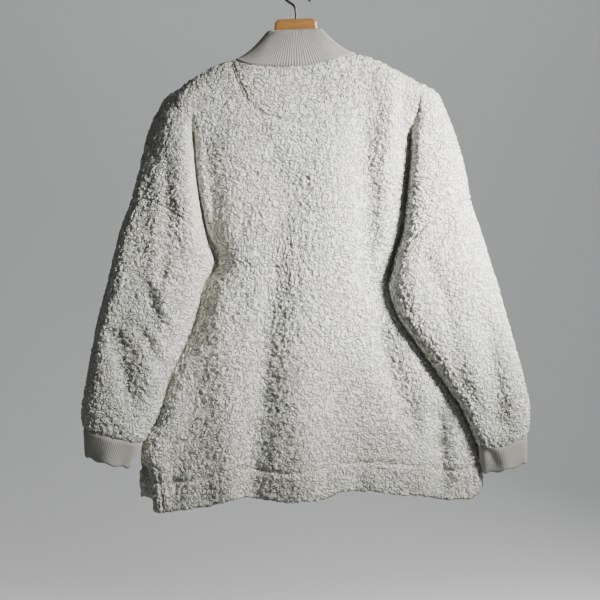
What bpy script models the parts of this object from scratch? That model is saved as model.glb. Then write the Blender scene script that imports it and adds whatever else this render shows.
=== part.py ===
"""Sherpa fleece pullover on a wooden hanger, hanging by the hanger's hook.

Frame: the origin is the inside top of the hook. +Z is up, +X is to the right of someone
looking at the garment's back, and +Y points from the back to the front of the garment.
Tables are in millimetres; MM turns them into metres.
"""
import math

import bmesh
import bpy
import numpy as np

MM = 0.001

# Cloth
SHERPA_WALL = 3.5          # knit ground and the roots of the pile
UNDERARM_WALL = 1.6        # the fleece pulled thin where four seams meet
RIB_WALL = 3.0             # rib folded double
HEM_EXTRA = 3.0            # more wall where the hem is turned up
HEM_HEIGHT = 46.0
SEAM_GAP = 0.3             # each piece stops this far short of a seam
PATCH_WALL = 1.8
PATCH_LIFT = 1.1

# Levels
RIGHT = 1
LEFT = -1
BACK = -1
FRONT = 1
UNDERARM_Z = {RIGHT: -486.0, LEFT: -448.0}
SEAM_TOP_Z = {RIGHT: -349.0, LEFT: -345.0}     # where the armhole seam meets the shoulder fold
CORNER_Z = {RIGHT: -192.0, LEFT: -195.0}       # where the shoulder turns down into the sleeve
VALLEY_TOP_X = {RIGHT: 197.0, LEFT: -200.0}
SEAM_SHARE = 0.55                              # share of the upper rows that end on the armhole
SEAM_CURVE = 2.6
ROW_CLIMB = 2.2                                # rows climb ahead of the armhole seam
UNDERARM_EASE = 2.5
NECK_LEAN = 0.7                                # how steeply the ends of the neck seam lean
PINCH_SLOPE = 26.0                             # the cloth is pinched flat under the arm:
PINCH_REACH = 55.0                             # how softly it rises there, how far that goes
PINCH_WIDE = 14.0
LEVEL_REACH = 45.0                             # the wall is measured front to back this near
COLUMN_STEP = 0.012           # steps for finding which way the cloth faces
ROW_STEP = 0.003
BODY_POWER = 3.5
EDGE_POWER = 2.2
ROLL_HEIGHT = 40.0
NECK_SHARE = 0.5                               # share of the half back taken by the neck
CENTRE_X = {"hem": 34.0, "underarm": 8.0, "neck": -3.0}
FRONT_SHARE = 0.78                             # the front lies flatter than the back

# Arm, from the shoulder down: height, fold nearest the body, outer fold,
# middle of the depth, half of the depth
ARM = {
    RIGHT: (
        (-160, 196, 232, 0, 27),
        (-192, 196, 234.1, 0, 33),
        (-206, 196, 239, 0, 36),
        (-244, 183, 253, -2, 43),
        (-300, 179, 269, -4, 50),
        (-350, 174.5, 277.5, -6, 53),
        (-400, 168, 294, -8, 55),
        (-450, 154, 309.5, -10, 55),
        (-486, 148.3, 321, -12, 53),
        (-530, 159.5, 333, -18, 49),
        (-580, 192, 346.5, -24, 44),
        (-640, 235, 362.5, -27, 38),
        (-690, 268, 371, -27, 34),
        (-745, 290, 366, -25, 29),
    ),
    LEFT: (
        (-160, -170, -214, 0, 27),
        (-195, -169, -218, 0, 34),
        (-206, -169, -224, 0, 36),
        (-246, -167, -240, -2, 42),
        (-310, -162, -255, -4, 48),
        (-350, -157, -265, -6, 52),
        (-400, -148, -283, -8, 54),
        (-448, -133.4, -294.5, -12, 53),
        (-490, -153.5, -304.5, -18, 49),
        (-530, -162, -315, -22, 46),
        (-580, -180.5, -325, -25, 42),
        (-640, -208.5, -335.5, -27, 38),
        (-690, -223, -343.5, -27, 34),
        (-742, -249, -338, -25, 29),
    ),
}
# Edge of the body: height, depth of the crease (above the underarm) or of the side seam
# (below it) on the back, and on the front
EDGE_DEPTH = {
    RIGHT: (
        (-180, -33, 24),
        (-206, -32, 24),
        (-244, -29, 22),
        (-300, -25, 17),
        (-350, -22, 11),
        (-400, -22, 6),
        (-450, -24, 2),
        (-470, -21, -4),
        (-480, -15, -9),
        (-486, -12, -12),
        (-530, -4, -4),
        (-580, 4, 4),
        (-750, 5, 5),
        (-772, 1, 9),
        (-850, -6, 13),
    ),
    LEFT: (
        (-180, -34, 24),
        (-246, -32, 22),
        (-330, -28, 15),
        (-371, -25, 8),
        (-405, -25, 3),
        (-430, -22, -4),
        (-442, -15, -9),
        (-448, -12, -12),
        (-490, -3, -3),
        (-530, 3, 3),
        (-765, 5, 5),
        (-790, -3, 10),
        (-850, -8, 13),
    ),
}
# Lower side of the body: height, edge of the back, edge of the front
SIDE = {
    RIGHT: (
        (-690, 268, 268),
        (-735, 289, 289),
        (-765, 294, 294),
        (-795, 297, 297),
        (-850, 294, 298),
    ),
    LEFT: (
        (-690, -223, -223),
        (-740, -247, -247),
        (-765, -250, -250),
        (-785, -238, -253),
        (-850, -228, -250),
    ),
}
SIDE_MEETS = (-690.0, -730.0)      # the side leaves the arm's inner fold between these heights
# How far the side keeps inside the arm's inner fold: distance below the underarm, amount
SIDE_LAG = ((0, 0.0), (14, 4.0), (60, 2.5), (120, 0.5), (300, 0.0))
# Middle of the body: height, x, depth of the back, depth of the front
BODY = (
    (-76, -3, 22, 22),
    (-120, -3, 27, 26),
    (-200, -2, 34, 29),
    (-260, 0, 38, 30),
    (-330, 3, 42, 32),
    (-400, 5, 45, 33),
    (-500, 10, 48, 34),
    (-600, 18, 50, 34),
    (-700, 28, 52, 34),
    (-840, 34, 54, 35),
)
# Upper outline of the shoulders and the collar: x, height
TOP_LINE = (
    (-265, -350), (-255, -310), (-240, -246), (-224, -206), (-218, -195),
    (-208.3, -182.6), (-196.2, -174), (-180.2, -161.8), (-165.4, -150.7),
    (-143.5, -138.6), (-128.8, -131.2), (-104.3, -122.7), (-86.6, -116.2),
    (-72.3, -104.6), (-58, -90.4), (-46.6, -76), (38.4, -72), (46.2, -79),
    (59, -91.8), (74.9, -104.6), (87, -110.5), (97, -112.8), (130.1, -123.8),
    (160.6, -139.7), (197.3, -160.5), (225.4, -177.6), (234.1, -192.3), (239, -206),
    (253, -244), (269, -300), (277.5, -350),
)
# Neck seam: x, height on the back, height on the front
NECK = (
    (-101.5, -121.8, -121.8),
    (-86.6, -129, -148),
    (-72.3, -133.3, -162),
    (-50.9, -135.8, -177),
    (-22.4, -136.5, -187),
    (6.2, -135.8, -187),
    (27.7, -132.5, -181),
    (56, -124.5, -166),
    (84.8, -116.2, -139),
    (97, -112.8, -112.8),
)
# Hem: x, height of the back, height of the front
HEM = (
    (-252, -846, -828),
    (-216.8, -851, -836),
    (-180.2, -845, -834),
    (-143.4, -840, -829),
    (-102.9, -829, -822),
    (-79, -825.5, -818),
    (-51.5, -828, -817),
    (-16, -831.7, -820),
    (21.9, -829, -822),
    (47.2, -824.5, -819),
    (66.2, -817, -814),
    (88.8, -814.2, -810),
    (114.9, -814.2, -807),
    (166.9, -820.3, -811),
    (210.2, -822.9, -816),
    (253.6, -828, -819),
    (271, -828, -818),
    (288.3, -821, -814),
    (297, -808, -808),
)
# Folds of the back: top x and height, bottom x and height, sideways bow, half width,
# depth at the top, depth at the bottom (a plus sign sinks the cloth)
BACK_FOLDS = (
    (-10, -330, -60, -700, -6, 22, 1, 10),
    (-60, -700, -74, -850, 0, 24, 10, 13),
    (60, -215, 62, -600, 8, 34, -4, -4),
    (112, -150, 122, -470, 0, 20, 4, 3),
    (130, -500, 196, -735, -14, 20, 4, 8),
    (98, -690, 100, -850, 0, 20, 0, 7),
    (-122, -510, -112, -850, 0, 26, -3, -7),
    (-203, -740, -196, -850, 0, 18, 3, 5),
    (24, -650, 20, -850, 0, 30, -2, -6),
    (-134, -250, -122, -360, 0, 16, 3, 3),
    (152, -200, 140, -400, -3, 14, -4, -3),
    (215, -690, 232, -850, 0, 24, -2, -6),
    (-228, -235, -236, -420, 2, 20, 7, 9),
    (-236, -420, -274, -563, 3, 20, 9, 9),
    (-274, -563, -254, -670, -4, 20, 9, 5),
    (-196, -371, -196, -515, 5, 13, 4, 4),
    (-240, -528, -206, -574, -3, 12, 5, 3),
    (300, -560, 318, -690, 3, 20, 3, 5),
    (232, -395, 200, -440, 0, 16, 3, 3),
    (262, -640, 300, -700, 3, 14, 3, 4),
)
FRONT_FOLDS = (
    (20, -330, 70, -840, 8, 26, 2, 8),
    (-70, -300, -110, -840, -8, 26, 2, 7),
    (150, -560, 190, -840, -6, 24, 1, 6),
    (-30, -560, -24, -840, 0, 28, -1, -5),
    (-220, -260, -250, -560, 4, 20, 5, 6),
    (230, -260, 282, -560, -4, 20, 5, 6),
    (-270, -560, -290, -690, 2, 18, 6, 3),
    (300, -560, 322, -690, 2, 18, 6, 3),
)

# Cuffs: outer and inner x and height at the seam, then at the free edge; half depth at each
CUFF = {
    RIGHT: {"free": (368.5, -770.0, 296.0, -787.0), "half_deep": 24.0, "middle": -24.0},
    LEFT: {"free": (-340.0, -760.0, -266.0, -779.0), "half_deep": 24.0, "middle": -24.0},
}
CUFF_SEAM = {RIGHT: (-725.5, -742.0), LEFT: (-713.5, -738.0)}
CUFF_SEAM_SAG = {RIGHT: -9.0, LEFT: -5.0}
CUFF_WALL = 2.8
GATHERS = 9
GATHER_DEPTH = 1.4

# Collar
COLLAR_TOP = {"middle": -4.1, "half_wide": 42.5, "back": 25.0, "front": 27.0}
COLLAR_TOP_Z = {"left": -76.0, "right": -72.0, "back_dip": -2.5, "front_drop": -52.0}
COLLAR_RISE = 1.6
COLLAR_SQUARE = 0.62

# Hanger: x, height of the top edge, height of the bottom edge
HANGER = (
    (-200, -193, -203),
    (-192, -186, -209),
    (-160, -160, -186),
    (-128, -142, -170),
    (-98, -135, -160),
    (-74, -125, -150),
    (-57, -110, -146),
    (-44, -94, -143),
    (-37.5, -80, -141),
    (-35.5, -63, -141),
    (-30, -58, -141),
    (26, -56.5, -139),
    (31.5, -61.5, -139),
    (33, -75, -138),
    (34.5, -84, -138),
    (41.5, -96, -137),
    (57, -110, -138),
    (71, -120, -140),
    (92, -126.5, -148),
    (127, -135, -160),
    (157, -151, -178),
    (191, -171.5, -199),
    (206, -181, -205),
    (213, -189, -198),
)
HANGER_DEEP = 16.0
HANGER_ROUND = 3.5

# Hook, as the middle line of the wire: x, height
WIRE = 4.0
HOOK_BORE = 4.7
HOOK_X = -1.6
HOOK_FOOT_Z = -76.0
HOOK_LINE = (
    (-1.6, -76), (-1.6, -58), (-1.8, -46), (-4.5, -36), (-13, -29.5),
    (-19.5, -24), (-22, -17), (-20.5, -8), (-13.5, -1), (0, 2),
    (13.5, -1), (20.5, -9), (22, -20), (19.5, -29),
)

# How finely the cloth is cut up
BODY_STEPS = (0.1, 0.2, 0.29, 0.37, 0.44, NECK_SHARE, 0.61, 0.72, 0.82, 0.92, 1.0)
OUTER_STEPS = (0.2, 0.4, 0.6, 0.8, 1.0)
FRONT_BODY_STEPS = (0.1, 0.2, 0.29, 0.37, 0.44, NECK_SHARE, 0.75, 1.0)
FRONT_OUTER_STEPS = (0.33, 0.67, 1.0)
LOWER_ROWS = (0.0, 0.06, 0.118, 0.132, 0.25, 0.38, 0.52, 0.66, 0.8, 0.9)
SHOULDER_ROWS = (0.67, 0.79, 0.88, 0.95, 1.0)
ARMHOLE_TURNS = (0.0, 0.05, 0.11, 0.19, 0.29, 0.4, 0.53, 0.68, 0.84, 1.0)
SLEEVE_ROWS = (0.0, 0.05, 0.14, 0.25, 0.36, 0.47, 0.58, 0.69, 0.8, 0.9, 0.97, 1.0)
CUFF_ROWS = (0.0, 0.2, 0.6, 1.0)
COLLAR_ROWS = (0.0, 0.2, 0.45, 0.72, 1.0)
PATCH_COLUMNS = 14
PATCH_ROWS = (0.0, 0.35, 0.7, 1.0)
PATCH_HALF = 98.0
PATCH_SPAN = 108.0
PATCH_MIDDLE = 1.0
PATCH_LOW = -226.0
PATCH_HIGH = -128.0


def column_of(table, index):
    """The named column of a table, against its first column, as a smooth curve."""
    rows = sorted(table)
    knots = np.array([row[0] for row in rows], float)
    values = np.array([row[index] for row in rows], float)
    rise = np.diff(values) / np.diff(knots)
    slopes = np.zeros(len(rows))
    for k in range(1, len(rows) - 1):
        if rise[k - 1] * rise[k] > 0:
            slopes[k] = 2 * rise[k - 1] * rise[k] / (rise[k - 1] + rise[k])
    slopes[0] = rise[0]
    slopes[-1] = rise[-1]

    def curve(at):
        at = np.clip(at, knots[0], knots[-1])
        k = np.clip(np.searchsorted(knots, at) - 1, 0, len(rows) - 2)
        width = knots[k + 1] - knots[k]
        t = (at - knots[k]) / width
        u = 1 - t
        ends = values[k] * (1 + 2 * t) * u * u + values[k + 1] * t * t * (3 - 2 * t)
        return ends + width * (slopes[k] * t * u * u - slopes[k + 1] * t * t * u)

    return curve


ARM_IN = {side: column_of(ARM[side], 1) for side in ARM}
ARM_LOW_OUT = {side: column_of(ARM[side], 2) for side in ARM}
ARM_MIDDLE = {side: column_of(ARM[side], 3) for side in ARM}
ARM_DEEP = {side: column_of(ARM[side], 4) for side in ARM}
EDGE_Y = {(side, face): column_of(EDGE_DEPTH[side], 1 if face == BACK else 2)
          for side in ARM for face in (BACK, FRONT)}
LOW_SIDE_X = {(side, face): column_of(SIDE[side], 1 if face == BACK else 2)
              for side in ARM for face in (BACK, FRONT)}
LAG = column_of(SIDE_LAG, 1)
BODY_X = column_of(BODY, 1)
BODY_DEEP = {BACK: column_of(BODY, 2), FRONT: column_of(BODY, 3)}
TOP_Z = column_of(TOP_LINE, 1)
NECK_Z = {BACK: column_of(NECK, 1), FRONT: column_of(NECK, 2)}
HEM_Z = {BACK: column_of(HEM, 1), FRONT: column_of(HEM, 2)}
NECK_LEFT = NECK[0][0]
NECK_RIGHT = NECK[-1][0]
CORNER_X = {RIGHT: 234.1, LEFT: -218.0}
SHOULDER_END_X = {RIGHT: 277.5, LEFT: -265.0}


def blend(first, second, share):
    """A value between two others."""
    return first + (second - first) * share


def smooth_step(value):
    """Rise from 0 to 1 with level ends."""
    value = np.clip(value, 0.0, 1.0)
    return value * value * (3 - 2 * value)


def arch(value, power):
    """A rounded profile: 1 at the middle, 0 at the edge."""
    return np.clip(1 - np.abs(value) ** power, 0.0, 1.0) ** (1 / power)


def arm_out(side, z):
    """Outer fold of the arm: the shoulder's outline above the armhole, the table below."""
    along = np.linspace(CORNER_X[side], SHOULDER_END_X[side], 300)
    upper = np.interp(-z, -TOP_Z(along), along)
    return np.where(z > -350.0, upper, ARM_LOW_OUT[side](z))


def underarm_line(x):
    """Height of the line between the two underarm points."""
    left_x = ARM_IN[LEFT](UNDERARM_Z[LEFT])
    right_x = ARM_IN[RIGHT](UNDERARM_Z[RIGHT])
    return blend(UNDERARM_Z[LEFT], UNDERARM_Z[RIGHT], (x - left_x) / (right_x - left_x))


def fold_depth(folds, x, z):
    """How far the listed folds sink the cloth."""
    total = np.zeros(np.shape(x))
    for top_x, top_z, low_x, low_z, bow, width, at_top, at_low in folds:
        along = (top_z - z) / (top_z - low_z)
        inside = np.clip(along, 0.0, 1.0)
        line_x = blend(top_x, low_x, inside) + bow * 4 * inside * (1 - inside)
        past = (along - inside) * (top_z - low_z)
        shape = np.exp(-((x - line_x) / width) ** 2 - (past / (1.3 * width)) ** 2)
        total = total + blend(at_top, at_low, inside) * shape
    return total


def shape_y(face, x, z, y):
    """Round the cloth over the shoulders and lay the folds in it."""
    near_top = np.clip(1 - (TOP_Z(x) - z) / ROLL_HEIGHT, 0.0, 1.0)
    roll = np.sqrt(1 - near_top ** 2)
    corner = np.where(x > 0, CORNER_X[RIGHT], -CORNER_X[LEFT])
    y = y * blend(roll, 1.0, smooth_step((np.abs(x) - corner) / 14))
    folds = BACK_FOLDS if face == BACK else FRONT_FOLDS
    return y - face * fold_depth(folds, x, z) * smooth_step((face * y - 4) / 22)


def eased(side, z, profile, distance):
    """A rounded profile, laid back to a slope beside the edge near the underarm."""
    slope = np.minimum(profile, 1 - np.exp(-distance / PINCH_SLOPE))
    return blend(profile, slope, np.exp(-((z - UNDERARM_Z[side]) / PINCH_REACH) ** 2))


def arm_y(side, face, x, z):
    """Depth of the arm's tube, which is open to the body above the underarm."""
    inner = ARM_IN[side](z)
    across = np.clip((x - inner) / (arm_out(side, z) - inner), 0.0, 1.0)
    middle = ARM_MIDDLE[side](z)
    open_y = np.where(z > UNDERARM_Z[side], EDGE_Y[side, face](z), middle)
    crease = np.maximum(face * (open_y - middle), 0.0)
    deep = ARM_DEEP[side](z) * (1.0 if face == BACK else FRONT_SHARE)
    rest = np.maximum(deep - 0.89 * crease, 0.0)
    tube = crease * arch(across, EDGE_POWER) + rest * arch(2 * across - 1, EDGE_POWER)
    return shape_y(face, x, z, middle + face * tube)


def body_y(side, face, x, z):
    """Depth of the body, from its middle to the crease or the side seam."""
    middle_x = BODY_X(z)
    edge_y = EDGE_Y[side, face](z)
    edge_x = body_edge_x(side, face, z)
    across = np.clip((x - middle_x) / (edge_x - middle_x), 0.0, 1.0)
    profile = eased(side, z, arch(across, BODY_POWER), np.maximum(side * (edge_x - x), 0))
    y = edge_y + (face * BODY_DEEP[face](z) - edge_y) * profile
    return shape_y(face, x, z, y)


def body_edge_x(side, face, z):
    """Where the body ends: the crease above the underarm, the side seam below it."""
    crease = ARM_IN[side](z)
    below = crease - side * LAG(UNDERARM_Z[side] - z)
    start, end = SIDE_MEETS
    below = blend(below, LOW_SIDE_X[side, face](z), smooth_step((start - z) / (start - end)))
    return np.where(z > UNDERARM_Z[side], crease, below)


def cloth_y(face, x, z):
    """Depth of the garment's outer face at x and z."""
    total = np.zeros(np.shape(x))
    for side in (RIGHT, LEFT):
        here = side * (x - BODY_X(z)) >= 0
        beyond = side * (x - body_edge_x(side, face, z)) > 0
        on_arm = beyond & (z > UNDERARM_Z[side])
        y = np.where(on_arm, arm_y(side, face, x, z), body_y(side, face, x, z))
        total = np.where(here, y, total)
    return total


def seam_z(side, turn):
    """Height of the armhole seam; turn goes from 0 at the underarm to 1 at the shoulder."""
    drop = SEAM_TOP_Z[side] - UNDERARM_Z[side]
    return SEAM_TOP_Z[side] - drop * (1 - turn) ** SEAM_CURVE


def tube_x(side, turn, z):
    """Sideways place on the arm's tube, a given turn round from its inner fold."""
    across = (1 - np.cos(math.pi * turn)) / 2
    return blend(ARM_IN[side](z), arm_out(side, z), across)


def panel_top(face, x):
    """Height of a panel's upper edge: the neck seam and the shoulders."""
    at_neck = (x > NECK_LEFT) & (x < NECK_RIGHT)
    return np.where(at_neck, NECK_Z[face](x) - SEAM_GAP, TOP_Z(x))


def settle(follow, start):
    """A place that agrees with its own height, found by repeated steps."""
    x = start
    for _ in range(24):
        x = follow(x)
    return x


def lower_half(side, face, column, low):
    """x and z of a panel below the underarm; low is 0 at the hem and 1 at the underarm."""
    within = np.clip(column, 0.0, 1.0)
    beyond = np.clip(column - 1, 0.0, 1.0)

    def height(x):
        shared = (HEM_Z[BACK](x) + HEM_Z[FRONT](x)) / 2
        hem = blend(HEM_Z[face](x), shared, smooth_step(low / 0.25))
        return blend(hem, underarm_line(x), low)

    edge = settle(lambda x: body_edge_x(side, face, np.minimum(height(x), UNDERARM_Z[side])),
                  side * 250.0 + 0 * low)
    below = smooth_step((UNDERARM_Z[side] - height(edge)) / 70)
    near = edge - side * (PINCH_WIDE + 12 * below)
    middle = blend(CENTRE_X["hem"], CENTRE_X["underarm"], low)
    share = blend(beyond, np.sin(beyond * math.pi / 2), below)
    x = blend(middle, near, within) + (edge - near) * share
    return x, height(x)


def upper_half(side, face, column, high):
    """x and z of a panel above the underarm; high is 0 at the underarm and 1 at the top."""
    within = np.clip(column, 0.0, 1.0)
    beyond = np.clip(column - 1, 0.0, 1.0)
    turn = np.clip(high / SEAM_SHARE, 0.0, 1.0)
    lift = np.maximum(high, SEAM_SHARE * (1 - (1 - turn) ** ROW_CLIMB))

    def height(x):
        return blend(underarm_line(x), panel_top(face, x), lift)

    def crease(x):
        z = np.maximum(height(x), UNDERARM_Z[side])
        fold = blend(ARM_IN[side](z), VALLEY_TOP_X[side], smooth_step((high - 0.72) / 0.28))
        return fold - side * PINCH_WIDE * (1 - smooth_step((z - UNDERARM_Z[side]) / 7))

    near = settle(crease, side * 180.0 + 0 * high)
    past = np.clip((high - SEAM_SHARE) / (1 - SEAM_SHARE), 0.0, 1.0)
    end_z = np.where(past > 0, blend(SEAM_TOP_Z[side], CORNER_Z[side], past),
                     seam_z(side, turn) + SEAM_GAP * turn)
    end = np.where(past > 0, arm_out(side, end_z),
                   tube_x(side, turn, end_z) - side * SEAM_GAP * (1 - turn))
    middle = blend(CENTRE_X["underarm"], CENTRE_X["neck"], high)
    share = blend(beyond, np.sin(beyond * math.pi / 2), turn ** 4)
    x = blend(middle, near, within) + (end - near) * share
    arm_z = blend(height(near), end_z, share)
    arm_z = blend(arm_z, TOP_Z(x), smooth_step((high - 0.75) / 0.25))
    return x, np.where(column <= 1, height(x), arm_z)


def panel(face):
    """Outer face of a body panel.

    Columns run from -2 at the left side to 2 at the right, with the arm folds at -1 and 1.
    Rows run from 0 at the hem, by 1 at the underarms, to 2 at the neck and shoulders.
    """
    def place(column, row):
        x = np.zeros(np.shape(column))
        z = np.zeros(np.shape(column))
        for side in (RIGHT, LEFT):
            low_x, low_z = lower_half(side, face, np.abs(column), np.clip(row, 0.0, 1.0))
            up_x, up_z = upper_half(side, face, np.abs(column), np.clip(row - 1, 0.0, 1.0))
            here = side * column >= 0
            x = np.where(here, np.where(row <= 1, low_x, up_x), x)
            z = np.where(here, np.where(row <= 1, low_z, up_z), z)
        return np.stack([x, cloth_y(face, x, z) + face * SEAM_GAP, z], axis=-1)
    return place


def cuff_seam_z(side, turn):
    """Height of the seam between a sleeve and its cuff."""
    outer_z, inner_z = CUFF_SEAM[side]
    across = (1 - np.cos(math.pi * turn)) / 2
    return blend(inner_z, outer_z, across) + CUFF_SEAM_SAG[side] * np.sin(math.pi * turn)


def sleeve(side):
    """Outer face of a sleeve: columns 0 to 2 go round it, rows 0 to 1 down to the cuff."""
    def place(column, row):
        column = np.mod(column, 2.0)
        turn = np.where(column <= 1, column, 2 - column)
        start = seam_z(side, turn) - SEAM_GAP * turn
        z = blend(start, cuff_seam_z(side, turn) + SEAM_GAP, row)
        ease = SEAM_GAP * (1 - turn) + UNDERARM_EASE * (1 - turn) ** 8
        x = tube_x(side, turn, z)
        y = np.where(column <= 1, arm_y(side, BACK, x, z), arm_y(side, FRONT, x, z))
        return np.stack([x + side * ease * (1 - row) ** 3, y, z], axis=-1)
    return place


def cuff(side):
    """Outer face of a cuff: columns 0 to 2 go round it, rows 0 to 1 down to its edge."""
    outer_x, outer_z, inner_x, inner_z = CUFF[side]["free"]

    def place(column, row):
        column = np.mod(column, 2.0)
        turn = np.where(column <= 1, column, 2 - column)
        face = np.where(column <= 1, BACK, FRONT)
        across = (1 - np.cos(math.pi * turn)) / 2
        top_z = cuff_seam_z(side, turn) - SEAM_GAP
        top_x = tube_x(side, turn, top_z)
        top_y = np.where(column <= 1, arm_y(side, BACK, top_x, top_z),
                         arm_y(side, FRONT, top_x, top_z))
        middle = CUFF[side]["middle"]
        low_x = blend(inner_x, outer_x, across)
        low_y = middle + face * CUFF[side]["half_deep"] * np.sin(math.pi * turn)
        low_z = blend(inner_z, outer_z, across) - 3 * np.sin(math.pi * turn)
        wave = GATHER_DEPTH * np.sin(GATHERS * math.pi * column) * np.sin(math.pi * row)
        x = blend(top_x, low_x, row)
        y = blend(top_y, low_y, row) + face * wave * np.sin(math.pi * turn)
        return np.stack([x, y, blend(top_z, low_z, row)], axis=-1)
    return place


def collar(column, row):
    """Outer face of the collar: columns 0 to 2 go round it, rows 0 to 1 up to its edge."""
    column = np.mod(column, 2.0)
    across = np.cos(math.pi * column)
    deep = np.abs(np.sin(math.pi * column))
    face = np.where(column < 1, BACK, FRONT)
    middle = CENTRE_X["neck"]
    base_x = middle + across * np.where(across > 0, NECK_RIGHT - middle, middle - NECK_LEFT)
    base_z = np.where(face == BACK, NECK_Z[BACK](base_x), NECK_Z[FRONT](base_x))
    base_y = np.where(face == BACK, cloth_y(BACK, base_x, base_z),
                      cloth_y(FRONT, base_x, base_z))
    top_x = COLLAR_TOP["middle"] + COLLAR_TOP["half_wide"] * across
    top_deep = np.where(face == BACK, COLLAR_TOP["back"], COLLAR_TOP["front"])
    top_y = face * top_deep * deep ** COLLAR_SQUARE
    side_z = blend(COLLAR_TOP_Z["left"], COLLAR_TOP_Z["right"], (1 + across) / 2)
    fall = np.where(face == BACK, COLLAR_TOP_Z["back_dip"], COLLAR_TOP_Z["front_drop"])
    top_z = side_z + fall * deep ** 1.3
    rise = 1 + (COLLAR_RISE - 1) * across ** 2
    return np.stack([blend(base_x, top_x, row), blend(base_y, top_y, row),
                     blend(base_z + SEAM_GAP, top_z, row ** rise)], axis=-1)


def patch(column, row):
    """Half-moon of cloth stitched below the back of the neck."""
    x = PATCH_MIDDLE + PATCH_HALF * np.sin(column * math.pi / 2)
    low = blend(PATCH_HIGH, PATCH_LOW, arch((x - PATCH_MIDDLE) / PATCH_SPAN, EDGE_POWER))
    z = blend(low, panel_top(BACK, x) - 5.0, row)
    return np.stack([x, cloth_y(BACK, x, z) - SEAM_GAP, z], axis=-1)


def unit(vectors):
    """Vectors made one long."""
    length = np.linalg.norm(vectors, axis=-1, keepdims=True)
    return vectors / np.maximum(length, 1e-12)


def normals(place, columns, rows, closed):
    """Points of a surface and its unit normals, from steps both ways."""
    column, row = np.meshgrid(columns, rows, indexing="ij")
    here = place(column, row)
    total = np.zeros(here.shape)
    for way in (COLUMN_STEP, -COLUMN_STEP):
        next_column = column + way
        if not closed:
            next_column = np.clip(next_column, columns[0], columns[-1])
        across = (place(next_column, row) - here) * np.sign(way)
        for up in (ROW_STEP, -ROW_STEP):
            next_row = np.clip(row + up, rows[0], rows[-1])
            along = (place(column, next_row) - here) * np.sign(up)
            total = total + unit(np.cross(across, along))
    return here, unit(total)


def underarm_distance(outer):
    """Distance from the nearer underarm point, seen from the front."""
    side_x = np.where(outer[..., 0] > 0, ARM_IN[RIGHT](UNDERARM_Z[RIGHT]),
                      ARM_IN[LEFT](UNDERARM_Z[LEFT]))
    side_z = np.where(outer[..., 0] > 0, UNDERARM_Z[RIGHT], UNDERARM_Z[LEFT])
    return np.hypot(outer[..., 0] - side_x, outer[..., 2] - side_z)


def near_underarm(outer, wall):
    """The wall drawn thin where the seams meet under the arm."""
    return blend(UNDERARM_WALL, wall, smooth_step((underarm_distance(outer) - 15) / 45))


def sherpa_wall(column, row, outer):
    """Thickness of the fleece."""
    return near_underarm(outer, np.full(column.shape, SHERPA_WALL))


def hemmed_wall(face):
    """Thickness of a body panel, which is double at the turned-up hem."""
    def thickness(column, row, outer):
        above = outer[..., 2] - HEM_Z[face](outer[..., 0])
        double = smooth_step((HEM_HEIGHT + 2 - above) / 4)
        return near_underarm(outer, SHERPA_WALL + HEM_EXTRA * double * (row < 1))
    return thickness


def even_wall(size):
    """The same thickness all over."""
    def thickness(column, row, outer):
        return np.full(column.shape, size)
    return thickness


def neck_rim(face, outer, wall):
    """Inner edge of the neck seam, which goes in the same way from a panel and the collar."""
    middle = CENTRE_X["neck"]
    x = outer[..., 0]
    reach = np.where(x > middle, NECK_RIGHT - middle, middle - NECK_LEFT)
    across = np.clip((x - middle) / reach, -1.0, 1.0)
    way = np.stack([-NECK_LEAN * across, -face * np.sqrt(1 - across ** 2),
                    -NECK_LEAN * np.abs(across)], axis=-1)
    return outer + unit(way) * wall


def shoulder_rim(outer):
    """Inner edge of the shoulder seam, square to the outline of the shoulder."""
    slope = TOP_Z(outer[..., 0] + 0.5) - TOP_Z(outer[..., 0] - 0.5)
    way = np.stack([slope, 0 * slope, -np.ones(slope.shape)], axis=-1)
    return outer + unit(way) * SHERPA_WALL


def panel_rim(face):
    """Square the edges of a panel: neck seam, shoulder seams and side seams."""
    def rim(column, row, outer, inner):
        x = outer[..., 0]
        edge = np.abs(column) >= 2
        at_neck = (row >= 2) & (x > NECK_LEFT - 1) & (x < NECK_RIGHT + 1)
        shoulder = ((row >= 2) & ~at_neck) | (edge & (row > 1 + SEAM_SHARE))
        wall = hemmed_wall(face)(column, row, outer)
        level = outer + np.stack([0 * wall, -face * wall, 0 * wall], axis=-1)
        share = smooth_step((underarm_distance(outer) - LEVEL_REACH) / 40)
        inner = blend(level, inner, share[..., None])
        side = np.stack([-np.sign(column) * wall, 0 * wall, 0 * wall], axis=-1)
        inner = np.where((edge & (row <= 1))[..., None], outer + side, inner)
        inner = np.where(shoulder[..., None], shoulder_rim(outer), inner)
        return np.where(at_neck[..., None], neck_rim(face, outer, SHERPA_WALL), inner)
    return rim


def collar_rim(column, row, outer, inner):
    """Square the collar's seamed edge."""
    face = np.where(column < 1, BACK, FRONT)
    return np.where((row <= 0)[..., None], neck_rim(face, outer, RIB_WALL), inner)


def add_object(name, mesh, material):
    """Put a finished mesh in the garment's collection."""
    data = bpy.data.meshes.new(name)
    mesh.to_mesh(data)
    mesh.free()
    thing = bpy.data.objects.new(name, data)
    data.materials.append(material)
    PARTS.objects.link(thing)
    return thing


def split_square(points):
    """Corners of the two triangles of a square, cut along its shorter diagonal."""
    first = np.linalg.norm(points[0] - points[2])
    second = np.linalg.norm(points[1] - points[3])
    if first <= second:
        return ((0, 1, 2), (0, 2, 3))
    return ((0, 1, 3), (1, 2, 3))


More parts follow.
